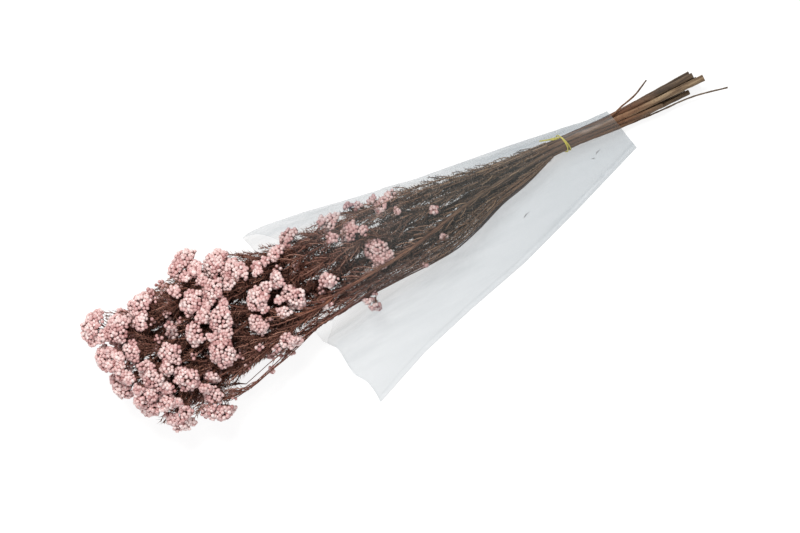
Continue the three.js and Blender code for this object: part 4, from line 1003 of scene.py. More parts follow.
def leafy_rays(gathered, leave, run, bows, random):
    """A few small leaves on each ray of a head."""
    spot = np.tile(np.linspace(0.15, 0.85, RAY_LEAVES), len(leave))[:, None]
    run = np.repeat(run, RAY_LEAVES, 0)
    foot = np.repeat(leave, RAY_LEAVES, 0) + run * spot
    foot += np.repeat(bows, RAY_LEAVES, 0) * 4 * spot * (1 - spot)
    way = unit(unit(run) + random.normal(0, 0.42, foot.shape))
    length = random.uniform(*RAY_LEAF_LENGTH, len(foot))[:, None]
    wide = unit(np.cross(way, random.normal(0, 1, way.shape)))
    flat = np.cross(way, wide) * RAY_LEAF_THICKNESS
    laid = copies(needle, foot, wide * RAY_LEAF_WIDTH, flat, way * length)
    gathered.add(needle, tucked(laid), LEAF, random.uniform(0.2, 1, len(foot)))


def leafy_stalk(gathered, head, random):
    """Leaves that crowd the stalk below a head and fill the hollow under its dome, in darker tones as
    painted shade.
    """
    count = int(STALK_LEAF_SHARE * head.half) + STALK_LEAVES
    spot = random.uniform(0, 1, count)[:, None]
    foot = head.stalk + (head.tip - head.stalk) * spot
    round_way = round_ways(head.axis, random.uniform(0, 2 * math.pi, count))
    lean = random.uniform(0.5, 1.25, count)[:, None]
    way = head.axis * np.cos(lean) + round_way * np.sin(lean)
    length = random.uniform(0.35, 0.75, count)[:, None] * head.half + 1.5
    wide = unit(np.cross(way, head.axis))
    flat = np.cross(way, wide) * STALK_LEAF_THICKNESS
    laid = copies(inner_needle, foot, wide * STALK_LEAF_WIDTH, flat, way * length)
    # Painted shade: the leaves under the dome get darker tones (0 to 0.6) than those on the rays.
    gathered.add(inner_needle, tucked(laid), LEAF, random.uniform(0, 0.6, count))


def model_head(head, finishes):
    """One head's buds, with their stalks and small leaves."""
    gathered = Gathering()
    fill_head(gathered, head, random_of(2, head.number))
    return gathered.piece(f"buds_{head.number:02d}", finishes)


# Small heads that stand by themselves: x, y, level in the outline, breadth
SMALL_HEADS = [
    (53.6, 32.7, 0.9, 11), (-196.7, 78.5, 0.95, 13), (-171, 88, 0.96, 19), (-141, 71, 0.98, 26),
    (-133, 66, 0.98, 17), (-150, 61, 0.95, 16), (-186.5, 45.3, 0.97, 17), (-187, 24, 0.98, 12),
    (-239, 68.5, 0.97, 19), (-273, 47, 0.95, 18), (-238, 18, 1.0, 17), (-246, 2, 0.97, 15),
    (-271, 13, 0.9, 14), (-263, 2, 0.9, 13), (-241, -25, 0.85, 17), (-211, -25, 0.85, 22),
    (-119, 42.5, 0.97, 14), (-117, 13.5, 0.95, 13), (-125, -12, 1.15, 19), (-77, 1, 0.9, 12),
    (-44.5, 52.8, 0.97, 12), (-14.7, 13, 0.97, 14), (-44.7, 72.1, 0.8, 12), (-16.8, 73.2, 0.8, 8),
    (6, 67.7, 0.8, 11), (22.8, 62.9, 0.8, 12), (22.4, 46.5, 0.93, 8), (-8.5, 69.5, 0.8, 9),
    (-14, 46.2, 0.96, 10), (-38, -23, 0.5, 13), (-169.5, 75.7, 0.97, 14), (-182.2, 85.7, 0.93, 12),
    (-130.8, 24.3, 0.98, 10), (-108.8, 63.7, 0.97, 10), (-115.2, 25.6, 0.98, 10),
    (-276.3, 72.9, 0.9, 14), (-276.3, 57.0, 0.9, 14), (-284.6, 45.4, 0.88, 13),
    (-277.7, 36.4, 0.92, 15), (-272.5, 26.2, 0.93, 14), (-253.1, 28.6, 0.96, 15),
    (-262.9, -9.8, 0.8, 14), (-253.2, -11.7, 0.85, 15), (-242.4, -15.4, 0.85, 12),
    (-214.6, -15.2, 0.93, 15), (-172.3, 96.4, 0.9, 12), (-175.1, 87.2, 0.93, 12),
    (-253.6, 75.7, 0.97, 14), (-178.4, 52.8, 0.99, 13), (-161.4, 46.9, 0.97, 12),
    (-175.1, 19.1, 0.98, 13), (-274.3, 4.8, 0.8, 13), (-261.2, 5.3, 0.9, 13),
]
FAR_HEADS = [(20.5, -9.5, 0.6, 9), (48.5, 5.5, 0.95, 9)]  # nearest the band
SMALL_HEAD_RISE = 0.55  # how much more than the others they look up
SMALL_STALK_RUN = (14, 60)
SMALL_STALK_RADIUS = 0.6
LATE_BUD_SPOTS = 60
# The share of side shoots that end in a few late buds, by the place along the bunch
LATE_BUDS = ([-300, -170, -130, -90, 90], [0.2, 0.18, 0.05, 0.02, 0.0])


def add_small_head(gathered, wood, spot, random):
    """A small head near the bunch's outside, on a stalk from the nearest wood behind it."""
    x, y, level, breadth = spot
    oy, oz, ow, oh = outline_at(x)
    height = oz + level * oh * math.sqrt(max(0.05, 1 - ((y - oy) / ow) ** 2))
    head = Head(0, (x, y, height - 0.3 * breadth), breadth)
    head.turn_to(head.axis + np.array([0, 0, SMALL_HEAD_RISE]))
    behind = wood[(wood[:, 0] > x + SMALL_STALK_RUN[0]) & (wood[:, 0] < x + SMALL_STALK_RUN[1])]
    root = behind[np.linalg.norm(behind - head.stalk, axis=1).argmin()]
    gathered.add(rod_shape, rods(rod_shape, root[None], head.tip[None], SMALL_STALK_RADIUS), STALK, [0.4])
    fill_head(gathered, head, random)


def model_small_heads(finishes):
    """The small heads on stalks of their own, and the late buds that end some of the side shoots."""
    random = random_of(3)
    gathered = Gathering()
    wood = np.concatenate([line.points for line in lines])
    for spot in SMALL_HEADS:
        add_small_head(gathered, wood, spot, random)
    for shoot in sides:
        tip, way = shoot.points[-1], shoot.along[-1]
        chance = np.interp(tip[0], *LATE_BUDS)
        if random.uniform() > chance or in_heads(tip[None], 2.5)[0]:
            continue
        count = random.randint(3, 9)
        around = unit(random.normal(0, 1, (LATE_BUD_SPOTS, 3)) + way * 0.9)
        spots = tip + way * 2.5 + around * random.uniform(2.2, 3.6, LATE_BUD_SPOTS)[:, None]
        centres = spots[even_spots(spots, count, random)]
        ways = unit(centres - tip)
        radii = BUD_RADIUS * random.uniform(0.72, 1.0, count)
        centres = add_buds(gathered, bud, centres, ways, radii, random.normal(0.4, 0.2, count), random)
        feet = np.repeat(tip[None], count, 0)
        stalks = rods(pedicel, feet, centres - ways * radii[:, None], INNER_PEDICEL_RADIUS)
        gathered.add(pedicel, tucked(stalks, THIN_ROOM), STALK, random.uniform(0.3, 1, count))
    for spot in FAR_HEADS:
        add_small_head(gathered, wood, spot, random)
    return gathered.piece("small_heads", finishes)


# Leaves and leafy shoots

# How leaves change along the bunch: places, and the value at each
LEAF_LENGTH = ([-300, -200, -90, 0, 120, 185], [7.0, 7.5, 7.0, 4.8, 4.2, 3.4])
LEAF_PITCH = ([-300, -150, -60, 0, 150, 185], [1.1, 1.0, 0.85, 0.7, 0.7, 1.1])
LEAF_LEAN = ([-300, -100, -30, 185], [0.75, 0.78, 1.05, 1.0])
LEAF_STRAY = ([-100, -40], [0.1, 0.24])
LEAF_WIDTH = 0.42
LEAF_THICKNESS = 0.4  # against its width
LEAF_BOW = 3.4  # against its thickness
DEEP_LEAF_WIDTH = 1.6  # leaves deep in the bunch are broader by this
SHOOT_LEAF = 0.85  # a shoot's leaves are shorter by this
LEAF_BOUND = 1.1
LOWER_LEAF_BOUND = 0.99  # where the film is drawn tight over the bunch's lower side
LEAST_HEIGHT = -2  # leaves below this are left off, and those between it and the ground are lifted
FIRST_LEAF = {"stem": 14, "twig": 14, "branch": 3}
BARE_END = 4
# Leaves this share of the way out begin to be deep ones, and are so wholly DEEP_RUN further in
DEEP_FROM, DEEP_RUN = 0.88, 0.3
UNDERSIDE_TO = -60  # up to this x leaves on the bunch's underside count as deep too
PLAIN_FROM = 0.25  # leaves deeper than this have a plainer shape
# Painted shade: how much darker the deep leaves inside the bunch are made, by the place along the bunch
DEEP_SHADE = ([-170, -110, -60], [0.3, 0.6, 0.45])
TONE_RANGE = ([-110, -40], [0.6, 0.95])
NEEDLES, SHOOT_STALK = 0, 1  # a leaf piece's finishes, in their order
SHOOT_ROOM, ROD_ROOM, NEEDLE_ROOM = 0.9, 0.5, 0.35

# Long shoots along the lower side, and a few along the upper side:
# turn from level, x at the end, radius, how far out they lie
EDGE_RUNS = [
    (-0.2, -196, 0.9, 0.99), (0.05, -188, 0.8, 0.95), (0.3, -150, 0.8, 0.92), (-0.35, -180, 0.7, 0.97),
    (0.15, -192, 0.7, 0.9), (-0.05, -194, 0.7, 0.84), (-0.5, -70, 0.7, 0.95), (0.45, -110, 0.7, 0.84),
    (0.1, -100, 0.7, 0.76), (0.4, -60, 0.7, 0.7), (-0.3, -80, 0.7, 0.66), (0.2, -40, 0.6, 0.58),
    (-0.1, -60, 0.6, 0.5), (0.4, -20, 0.6, 0.9), (-0.6, -30, 0.6, 0.8), (0.6, -50, 0.6, 0.82),
    (0, -20, 0.6, 0.62), (0.3, -30, 0.6, 0.54), (-0.3, 0, 0.6, 0.46), (0.1, 10, 0.6, 0.4),
    (0.15, -10, 0.6, 0.7), (2.5, -60, 0.6, 0.62), (2.2, -85, 0.6, 0.75), (2.8, -40, 0.6, 0.8),
    (1.9, -60, 0.6, 0.6), (2.6, -90, 0.6, 0.42), (2.4, -30, 0.6, 0.88), (3.0, -60, 0.6, 0.66),
]
RUN_START = 176
RUN_PLACES = [-130, 0, 150, RUN_START]  # a run lies as far out as its row says between the middle two
RUN_END_RADIUS = 0.45
RUN_ROOM = 1.0
RUN_STEM = 8
OUTER_RUN = 0.94  # a run this far out is bare wood towards the band
BARE_TO, BARE_SHARE = 48, 0.2
END_FROM, END_SHARE = -128, 0.55  # runs carry fewer leaves beyond this
# Open places in the bunch: middle, half length, half width, turn
OPEN_GAPS = [(-160, -25, 25, 4.6, 0.155), (-216.5, 113.5, 42, 20, -0.16)]
IN_GAP_SHARE = 0.05  # the leaves that stay in them
# How much further out than the outline the leaves lie on the lower side
LOWER_REACH = (
    [-196, -100, -30, -6, 25, 57, 82, 109, 132, 157, 177],
    [0.98, 1, 1, 1.05, 1.16, 1.36, 1.4, 1.32, 1.34, 1.2, 0.85],
)
# Painted shade along the hollows between the sheaves of leaves under the film: their routes, how wide the
# shade is, and how much darker it makes the leaves
SHADED_HOLLOWS = [
    ([(-78, 53), (-33, 48), (-16, 46), (3, 46), (22, 42), (41, 36), (60, 33)], 2.0, 0.55),
    ([(2, 20), (21, 20), (41, 21), (60, 22), (77, 25), (98, 23), (119, 24), (151, 24)], 3.0, 0.5),
]

SHOOTS = 3450
SHOOT_ENDS = (-268, 165)  # the stretch of the bunch that has tips of side shoots
SHOOT_CROWD = ([-268, -235, -200, -60, 0, 60, 165], [2.6, 2.6, 1.7, 1.1, 1.25, 1.7, 1.3])
TIPS_TRIED = 6  # for each shoot
# The shares of the tips that are turned up anywhere, down up to an x, and to the lower side from an x
UPWARD, UNDER, LOWER = 0.15, (0.4, -170), (0.3, -20)
LOW_SHOOTS = 260
LOW_ENDS = (-130, 160)
TIP_ROOM = 1.6
SHOOT_REACH = (13, 62)
SHOOT_STRAIGHT = 0.76  # how straight on the tip lies from the wood, at the least, as a cosine
TURN_COST = 50  # a shoot rather grows this much longer than turn off square
SHOOT_STEPS, FEWEST_STEPS = 9, 5
SHOOT_RADII = (0.55, 0.3)
SHOOT_BOUND = 1.03
SHOOT_GROUND = 0.9
BAND_ROOM = 22  # no shoot leaves the wood nearer the band than this


def in_gap(points):
    """Whether points lie in an open place at the bunch's edge."""
    open_there = np.zeros(points.shape[:-1], bool)
    for x, y, long, wide, turn in OPEN_GAPS:
        dx, dy = points[..., 0] - x, points[..., 1] - y
        along, side = dx * math.cos(turn) + dy * math.sin(turn), dy * math.cos(turn) - dx * math.sin(turn)
        open_there |= np.hypot(along / long, side / wide) < 1
    return open_there


def leaf_share(p):
    """How far out in the leaves points lie: they belly out on the bunch's lower side."""
    y, z, w, h = outline_at(p[..., 0])
    w = np.where(p[..., 1] < y, w * np.interp(p[..., 0], *LOWER_REACH), w)
    return np.hypot((p[..., 1] - y) / w, (p[..., 2] - z) / h)


def hollow_shade(points):
    """How much painted shade darkens the leaves beside the hollows."""
    darker = np.zeros(len(points))
    for route, wide, deep in SHADED_HOLLOWS:
        route = np.array(route, float)
        x = np.linspace(route[0, 0], route[-1, 0], 90)
        spots = np.column_stack([x, np.interp(x, route[:, 0], route[:, 1])])
        apart = np.hypot(points[:, 0:1] - spots[:, 0], points[:, 1:2] - spots[:, 1]).min(1)
        darker += deep * np.exp(-((apart / wide) ** 2))
    return darker


def leafed_from(line):
    """The length at which a line's leaves start."""
    if line.kind == "branch":
        return FIRST_LEAF["branch"]
    return line.at[int(np.argmax(line.points[:, 0] <= BAND_X))] + FIRST_LEAF[line.kind]


def leaf_spots(line, start, stop, random):
    """Lengths along a line, apart by a pitch that changes along the bunch."""
    found = []
    s = start
    while s < line.length - stop:
        found.append(s)
        x = np.interp(s, line.at, line.points[:, 0])
        s += np.interp(x, *LEAF_PITCH) * random.uniform(0.6, 1.4)
    return np.array(found)


def leaves_on(line, start, stop, random, size=1.0):
    """The needle leaves on a line: their feet, their ways, their ways out from it and their lengths."""
    s = leaf_spots(line, start, stop, random)
    if not len(s):
        return None
    p, along, across, radius = line.walk(s)
    out = across_ways(along, across, GOLDEN_ANGLE * np.arange(len(s)) + random.normal(0, 0.4, len(s)))
    lean = np.clip(np.interp(p[:, 0], *LEAF_LEAN) + random.normal(0, 0.2, len(s)), 0.25, 1.25)[:, None]
    stray = np.interp(p[:, 0], *LEAF_STRAY)[:, None]
    way = unit(along * np.cos(lean) + out * np.sin(lean) + random.normal(0, 1, p.shape) * stray)
    length = np.interp(p[:, 0], *LEAF_LENGTH) * random.uniform(0.65, 1.2, len(s)) * size
    return p + out * (radius * 0.7)[:, None], way, out, length


def shoot_tips(random):
    """Places spread evenly through the bunch, for the tips of its side shoots."""
    many = SHOOTS * TIPS_TRIED
    x = np.linspace(*SHOOT_ENDS, 400)
    _, _, w, h = outline_at(x)
    total = np.cumsum(w * h**0.4 * np.interp(x, *SHOOT_CROWD))
    x = np.interp(random.uniform(0, total[-1], many), total, x)
    y, z, w, h = outline_at(x)
    turn = random.uniform(0, 2 * math.pi, many) - 0.35 * random.uniform(0, 1, many)
    turn = np.where(random.uniform(0, 1, many) < UPWARD, -np.abs(turn) % math.pi, turn)
    under = (random.uniform(0, 1, many) < UNDER[0]) & (x < UNDER[1])
    turn = np.where(under, -(np.abs(turn) % math.pi), turn)
    lower = (random.uniform(0, 1, many) < LOWER[0]) & (x > LOWER[1])
    turn = np.where(lower, math.pi + 0.9 * np.sin(turn), turn)
    share = 0.98 * random.uniform(0, 1, many) ** 0.45
    w = np.where(np.cos(turn) < 0, w * np.interp(x, *LOWER_REACH), w)
    tips = np.column_stack([x, y + w * share * np.cos(turn), z + h * share * np.sin(turn)])
    tips = tucked(tips, TIP_ROOM)
    return tips[even_spots(tips, SHOOTS, random)]


def low_tips(random):
    """Places low in the bunch, where the ground would show through it."""
    x = random.uniform(*LOW_ENDS, LOW_SHOOTS)
    y, z, w, h = outline_at(x)
    turn = random.uniform(0.2, math.pi - 0.2, LOW_SHOOTS)
    w = np.where(np.cos(turn) < 0, w * np.interp(x, *LOWER_REACH), w)
    share = random.uniform(0.4, 0.9, LOW_SHOOTS)
    tips = np.column_stack([x, y + w * share * np.cos(turn), z - h * share * np.sin(turn)])
    return tucked(tips, TIP_ROOM)


def grow_shoots(place_tips, seed):
    """Side shoots that leave the wood behind their tips, so that leaves fill the whole bunch."""
    random = random_of(seed)
    wood = [line for line in lines if line.kind != "twig"]
    wood += [line for line in sides if line.kind != "shoot"]
    feet = np.concatenate([line.points for line in wood])
    ways = np.concatenate([line.along for line in wood])
    thick = np.concatenate([line.radii for line in wood])
    stems = np.concatenate([np.full(len(line.points), line.stem) for line in wood])
    grown = []
    for tip in place_tips(random):
        run = tip - feet
        reach = np.linalg.norm(run, axis=1)
        ahead = (run * ways).sum(1) / np.maximum(reach, 0.01)
        fit = (ahead > SHOOT_STRAIGHT) & (reach > SHOOT_REACH[0]) & (reach < SHOOT_REACH[1])
        fit &= feet[:, 0] < BAND_X - BAND_ROOM
        if fit.any():
            k = int(np.argmin(np.where(fit, reach + TURN_COST * (1 - ahead), np.inf)))
            grown.append((k, tip))
    k = np.array([g[0] for g in grown])
    tips = np.array([g[1] for g in grown])
    run = tips - feet[k]
    length = np.linalg.norm(run, axis=1, keepdims=True)
    straight = run / length
    out = unit(straight - ways[k] * (straight * ways[k]).sum(1, keepdims=True))
    leave = unit(straight + out * 0.4 + random.normal(0, 0.12, out.shape)) * length
    arrive = unit(straight + ways[k] * 0.5 - out * 0.1 + random.normal(0, 0.22, out.shape)) * length
    start, end, leaving, arriving = curve_weights(np.linspace(0, 1, SHOOT_STEPS)[:, None, None])
    foot = feet[k] + out * (thick[k] * 0.5)[:, None]
    points = (start * foot + leaving * leave + end * tips + arriving * arrive).transpose(1, 0, 2)
    points = tucked(points.reshape(-1, 3), SHOOT_ROOM).reshape(points.shape)
    stopped = in_heads(points, 0.4) | in_gap(points) | (points[..., 2] < SHOOT_GROUND)
    stopped |= leaf_share(points) > SHOOT_BOUND
    for i, row in enumerate(stopped):
        free = SHOOT_STEPS if not row[2:].any() else 2 + int(np.argmax(row[2:]))
        if free >= FEWEST_STEPS:
            radii = np.linspace(*SHOOT_RADII, free)
            sides.append(Line(points[i, :free], radii, "shoot", int(stems[k[i]])))


def run_edges():
    """Long thin shoots that lie along the bunch's lower side, where the film holds them in."""
    random = random_of(5)
    for turn, end, radius, far in EDGE_RUNS:
        x = np.linspace(RUN_START, end, 26)
        y, z, w, h = outline_at(x)
        ripple = 0.02 * np.sin(x / 23 + random.uniform(0, 6))
        angle = math.pi + turn + 0.12 * np.sin(x / 60 + random.uniform(0, 6))
        share = np.where(np.cos(angle) < 0, np.interp(x, *LOWER_REACH), 1)
        share = share * np.interp(x, RUN_PLACES, [0.97, far, far, 0.8]) + ripple
        points = np.column_stack([x, y + w * share * np.cos(angle), z - h * share * np.sin(angle)])
        points = tucked(smooth_line(points), RUN_ROOM)
        kind = "outer_run" if far > OUTER_RUN else "run"
        sides.append(Line(points, np.linspace(radius, RUN_END_RADIUS, len(points)), kind, RUN_STEM))


def along_line(shape, line):
    """A straight shape, one unit long, laid along a line and as thick as it."""
    p = shape["points"]
    centre, along, across, _ = line.walk(p[:, 2] * line.length)
    thick = line.radii[0]
    return centre + across * p[:, 0:1] * thick + np.cross(along, across) * p[:, 1:2] * thick


def model_leaves(number, finishes):
    """A stem's leaves, on its trunk, its branches and its side shoots."""
    random = random_of(1, number)
    gathered = Gathering()
    for part in [line for line in [*lines, *sides] if line.stem == number]:
        side = part.kind in ("shoot", "run", "outer_run")
        if side:
            laid = leaves_on(part, 2, 0, random, SHOOT_LEAF)
        else:
            laid = leaves_on(part, leafed_from(part), BARE_END, random)
        if laid is None:
            continue
        feet, ways, outs, lengths = laid
        tips = feet + ways * lengths[:, None]
        tight = tips[:, 1] < outline_at(tips[:, 0])[0] - 2
        kept = leaf_share(tips) < np.where(tight, LOWER_LEAF_BOUND, LEAF_BOUND)
        kept &= ~in_heads(tips, 0.6) & (tips[:, 2] > LEAST_HEIGHT)
        kept &= ~(in_gap(tips) | in_gap(feet)) | (random.uniform(0, 1, len(feet)) < IN_GAP_SHARE)
        if side and part.kind != "shoot":
            kept &= (feet[:, 0] > END_FROM) | (random.uniform(0, 1, len(feet)) < END_SHARE)
        if part.kind == "outer_run":
            kept &= (feet[:, 0] < BARE_TO) | (random.uniform(0, 1, len(feet)) < BARE_SHARE)
        feet, ways, outs, lengths = feet[kept], ways[kept], outs[kept], lengths[kept]
        _, level, _, high = outline_at(feet[:, 0])
        deep = np.clip((DEEP_FROM - leaf_share(feet)) / DEEP_RUN, 0, 1)
        below = np.clip((level - feet[:, 2]) / (0.5 * high), 0, 1) * (feet[:, 0] < UNDERSIDE_TO)
        deep = np.maximum(deep, 0.6 * below)
        wide = unit(np.cross(ways, outs))
        flat = np.cross(ways, wide) * (LEAF_WIDTH * LEAF_THICKNESS)
        bows = flat * random.normal(0, LEAF_BOW, len(feet))[:, None]
        breadth = LEAF_WIDTH * random.uniform(0.75, 1.25, len(feet)) * (1 + DEEP_LEAF_WIDTH * deep)
        wide = wide * breadth[:, None]
        inner = deep > PLAIN_FROM
        tone = 0.45 + random.uniform(-0.5, 0.5, len(feet)) * np.interp(feet[:, 0], *TONE_RANGE)
        # Deep leaves are darkened as painted shade.
        tone = tone + random.uniform(0, 0.3) - 0.45 * (deep * np.interp(feet[:, 0], *DEEP_SHADE))
        # Painted shade along the hollows between the sheaves of leaves.
        tone -= hollow_shade(feet)
        ways = ways * lengths[:, None]
        for shape, mine in ((needle, ~inner), (inner_needle, inner)):
            points = copies(shape, feet[mine], wide[mine], flat[mine], ways[mine], bows[mine])
            gathered.add(shape, tucked(points, NEEDLE_ROOM), NEEDLES, tone[mine])
        if side:
            rod = rod_shape if part.kind == "shoot" else long_rod
            points = tucked(along_line(rod, part), ROD_ROOM)
            gathered.add(rod, points, SHOOT_STALK, [random.uniform(0.1, 0.9)])
    return gathered.piece(f"leaves_{number:02d}", finishes)


# Band, sleeve and scraps

BAND_TURN_RADIUS = 8.75
BAND_POINTS = 72
BAND_LEAN = 0.28  # in radians
STRAND_LEAN = 0.2  # how much less the first strand leans, in radians
BAND_TIP = 0.3  # the band stands further towards the cut ends on top of the bundle
STRAND_RADIUS = 0.7
STRAND_APART = 0.6
BAND_LOOP = [(0, 0, 0), (-3, 0.8, 0.6), (-9, 2.8, 0.8), (-17.5, 5.8, -0.8)]
LOOP_POINTS = 40
LOOP_TWIST = 6.2
LOOP_WIDTH = ([0, 0.15, 0.45, 0.6, 0.8, 0.92, 1], [0.7, 0.64, 0.7, 1.9, 2.4, 1.6, 0.3])


def model_band(finishes):
    """A rubber band wound twice round the stems, its end twisted into a small loop."""
    curve = start_curve(STRAND_RADIUS, 3)
    y, z, _, _ = outline_at(BAND_X)
    turn = np.linspace(0, 2 * math.pi, BAND_POINTS, endpoint=False)
    for strand, less in ((-1, STRAND_LEAN), (1, 0)):
        radius = BAND_TURN_RADIUS + 0.12 * np.sin(7 * turn + strand)
        side = strand * STRAND_APART * (1 + 0.25 * np.sin(2 * turn + 1))
        lean = math.tan(BAND_LEAN - less)
        loop = np.column_stack([
            BAND_X - radius * np.cos(turn) * lean + side + BAND_TIP * radius * np.sin(turn),
            y + radius * np.cos(turn), z + radius * np.sin(turn),
        ])
        add_path(curve, loop, closed=True)
    add_path(curve, band_end(y, z), closed=True)
    piece = curve_made_piece("rubber_band", finishes)
    bpy.ops.object.shade_smooth()
    return piece


def band_end(y, z):
    """The band's free end: a loop whose two strands twist round each other and then open."""
    slant = BAND_TURN_RADIUS * math.sqrt(0.5)
    root = np.array([BAND_X - 1.0, y + slant, z + slant])
    way = Line(smooth_line(root + np.array(BAND_LOOP), 0.4), 0)
    there = np.linspace(0, 1, LOOP_POINTS)
    along = np.concatenate([there, there[-2:0:-1]])
    back = np.arange(len(along)) >= LOOP_POINTS
    centre, ahead, across, _ = way.walk(along * way.length)
    twist = LOOP_TWIST * np.minimum(along, 0.5) + math.pi * back
    return centre + across_ways(ahead, across, twist) * np.interp(along, *LOOP_WIDTH)[:, None]


FILM_THICKNESS = 0.06
WELD_INSET, WELD_WIDTH = 5.0, 0.9
# The haze over the bunch, by the distance in from the mouth, and beside it above and below
VEIL = ([0, 14, 55, 230, 300], [0.2, 0.2, 0.78, 0.78, 0.97])
UPPER_VEIL, LOWER_VEIL = 1.35, 1.0
STATIONS = 96
# Points round the film: over the flat flap, the drape, the crown and the heel, and back underneath
FLAP_COUNT, DRAPE_COUNT, CROWN_COUNT, HEEL_COUNT, UNDER_COUNT = 24, 40, 24, 10, 16
AROUND = FLAP_COUNT + DRAPE_COUNT + CROWN_COUNT + HEEL_COUNT + UNDER_COUNT
DRAPE_START = 1.9  # half widths of the bunch from its middle
EDGE_ROOM = 0.25
RAGGED = 1.6
# How far the lower edge, the upper edge and the mouth stray from straight: places, and the stray at each
EDGE_WAVE = ([-105, -40, 20, 90, 160, 250], [0, 3.5, 1.5, -3, -2.5, 0])
UPPER_WAVE = ([-105, -98, -84, -44, -8, 50, 150, 210, 243], [1.5, 5, 6.5, 6, 3.5, 0, 0, -2, -4])
MOUTH_WAVE = ([-106, -89, -79, -68, -53, -40, -27, -10, 10], [0.4, 3.7, 4.2, -1.8, 1.1, 2.4, -4.9, -3, 0])


def weld_share(y, lower):
    """How near the film's welded seam places are: 1 is on it."""
    return np.exp(-(((y - lower - WELD_INSET) / WELD_WIDTH) ** 2))


def film_section(station):
    """The film's outer line round the bunch, from the lower edge over the top and back."""
    oy, oz, ow, oh = outline_at(station)
    upper, lower = edges_at(station)
    lower += np.interp(station, *EDGE_WAVE)
    upper = max(upper + np.interp(station, *UPPER_WAVE), oy + ow + SLEEVE_CLEAR + FILM)
    top = oz + oh + FILM + SLEEVE_CLEAR
    drape = oy - DRAPE_START * (ow + SLEEVE_CLEAR)
    flap = np.linspace(lower, drape, FLAP_COUNT, endpoint=False)
    over = np.concatenate([flap, np.linspace(drape, oy, DRAPE_COUNT, endpoint=False)])
    weld = weld_share(over, lower)
    cover = cover_height(over, oy, ow, top) - EDGE_ROOM
    cover = EDGE_ROOM + cover * (1 - weld) * np.clip((over - lower) / 1.5, 0.12, 1)
    crown = np.sin(np.linspace(0, math.pi / 2, CROWN_COUNT))
    heel = 1 - (1 - FLAT_SHARE) * (1 - np.cos(np.linspace(0, math.pi / 2, HEEL_COUNT + 1)[1:]))
    under = np.linspace(oy + FLAT_SHARE * (upper - oy), lower, UNDER_COUNT + 1)[1:]
    y = np.concatenate([over, oy + crown * (upper - oy), oy + heel * (upper - oy), under])
    z = np.concatenate([cover, crown_height(crown, top), heel_height(heel, top), np.zeros(UNDER_COUNT)])
    weld = np.concatenate([weld, np.zeros(CROWN_COUNT + HEEL_COUNT), weld_share(under, lower)])
    return y, z, weld


def film_lift(station, y, z):
    """How far the film stands off at each place of a section, in soft folds, creases and crinkles."""
    lift = []
    for v, w in zip(y, z):
        x = station - SKEW * (v - SKEW_Y)
        fold = noise.noise(Vector((x / 120, v / 13 + x / 90, 3.1))) * 1.5
        crease = noise.noise(Vector((x / 34, v / 7, 9.7))) * 0.7
        crinkle = noise.noise(Vector((x / 9, v / 6 + w / 6, 5.3))) * 0.3 * min(1, w / 6)
        lift.append(max(0.0, fold + crease + crinkle + 0.25))
    return np.array(lift)


def film_at(share):
    """The film's points and marks round the bunch, this share of the way from narrow end to mouth."""
    station = NARROW_X + (MOUTH_X - NARROW_X) * share
    oy, _, ow, _ = outline_at(station)
    y, z, weld = film_section(station)
    normal = unit(np.column_stack([-np.gradient(z), np.gradient(y)]))
    flat = np.clip((oy - y - 1.2 * ow) / ow, 0, 1)
    lift = film_lift(station, y, z)
    lift[-UNDER_COUNT:] = 0
    lift *= (1 - weld) * (1 - 0.88 * flat)
    lift[:3] = 0
    y, z = y + normal[:, 0] * lift, np.maximum(z + normal[:, 1] * lift, 0)
    recess = MOUTH_RECESS * share**3 * np.maximum(0, 2 * z / z.max() - 1)
    ragged = np.array([noise.noise(Vector((v / 22, w / 22, 1.7))) for v, w in zip(y, z)])
    wave = share**14 * np.interp(y, *MOUTH_WAVE)
    x = station + recess + share**10 * RAGGED * ragged + wave - SKEW * (y - SKEW_Y)
    side = (y - oy) / ow
    beside = np.where(side > 0, np.clip((side - 0.75) / 0.45, 0, 1), np.clip((-side - 0.95) / 0.25, 0, 1))
    inside = np.interp((1 - share) * (NARROW_X - MOUTH_X), *VEIL)
    veil = inside + (np.where(y > oy, UPPER_VEIL, LOWER_VEIL) - inside) * beside
    hem = 0.6 * (share > 0.994)
    return np.column_stack([x, y, z, np.maximum(weld, hem), 1 - flat, veil])


def model_sleeve(finish):
    """The film sleeve: a sheet wrapped round the bunch, and welded together along its lower edge."""
    deselect()
    bpy.ops.mesh.primitive_grid_add(x_subdivisions=STATIONS, y_subdivisions=AROUND - 1, size=2)
    piece = bpy.context.object
    mesh = piece.data
    spots = np.array([v.co for v in mesh.vertices])
    down = np.rint((spots[:, 0] + 1) / 2 * STATIONS).astype(int)
    round_it = np.rint((spots[:, 1] + 1) / 2 * (AROUND - 1)).astype(int)
    sections = np.array([film_at(k / STATIONS) for k in range(STATIONS + 1)])
    laid = sections[down, round_it]
    mesh.vertices.foreach_set("co", placed(laid[:, :3]).ravel())
    for label, values in zip(("weld", "over", "veil"), laid[:, 3:].T):
        set_mark(mesh, label, values)
    bpy.ops.object.mode_set(mode="EDIT")
    bpy.ops.mesh.select_all(action="SELECT")
    bpy.ops.mesh.remove_doubles(threshold=0.00001)
    bpy.ops.mesh.normals_make_consistent(inside=False)
    bpy.ops.object.mode_set(mode="OBJECT")
    wall = piece.modifiers.new("wall", "SOLIDIFY")
    wall.thickness = FILM_THICKNESS * MM
    wall.offset = -1
    bpy.ops.object.modifier_apply(modifier="wall")
    bpy.ops.object.shade_smooth_by_angle(angle=math.radians(60))
    piece.name = mesh.name = "film_sleeve"
    mesh.materials.append(finish)
    return piece


# Fallen leaves in the flap: x, y, turn, length
SCRAPS = [(212.5, 6.0, 0.4, 7.5), (211.0, 4.5, 2.9, 4.0), (124.0, -15.0, 0.4, 9.0)]
SCRAP_HEIGHT = 0.75


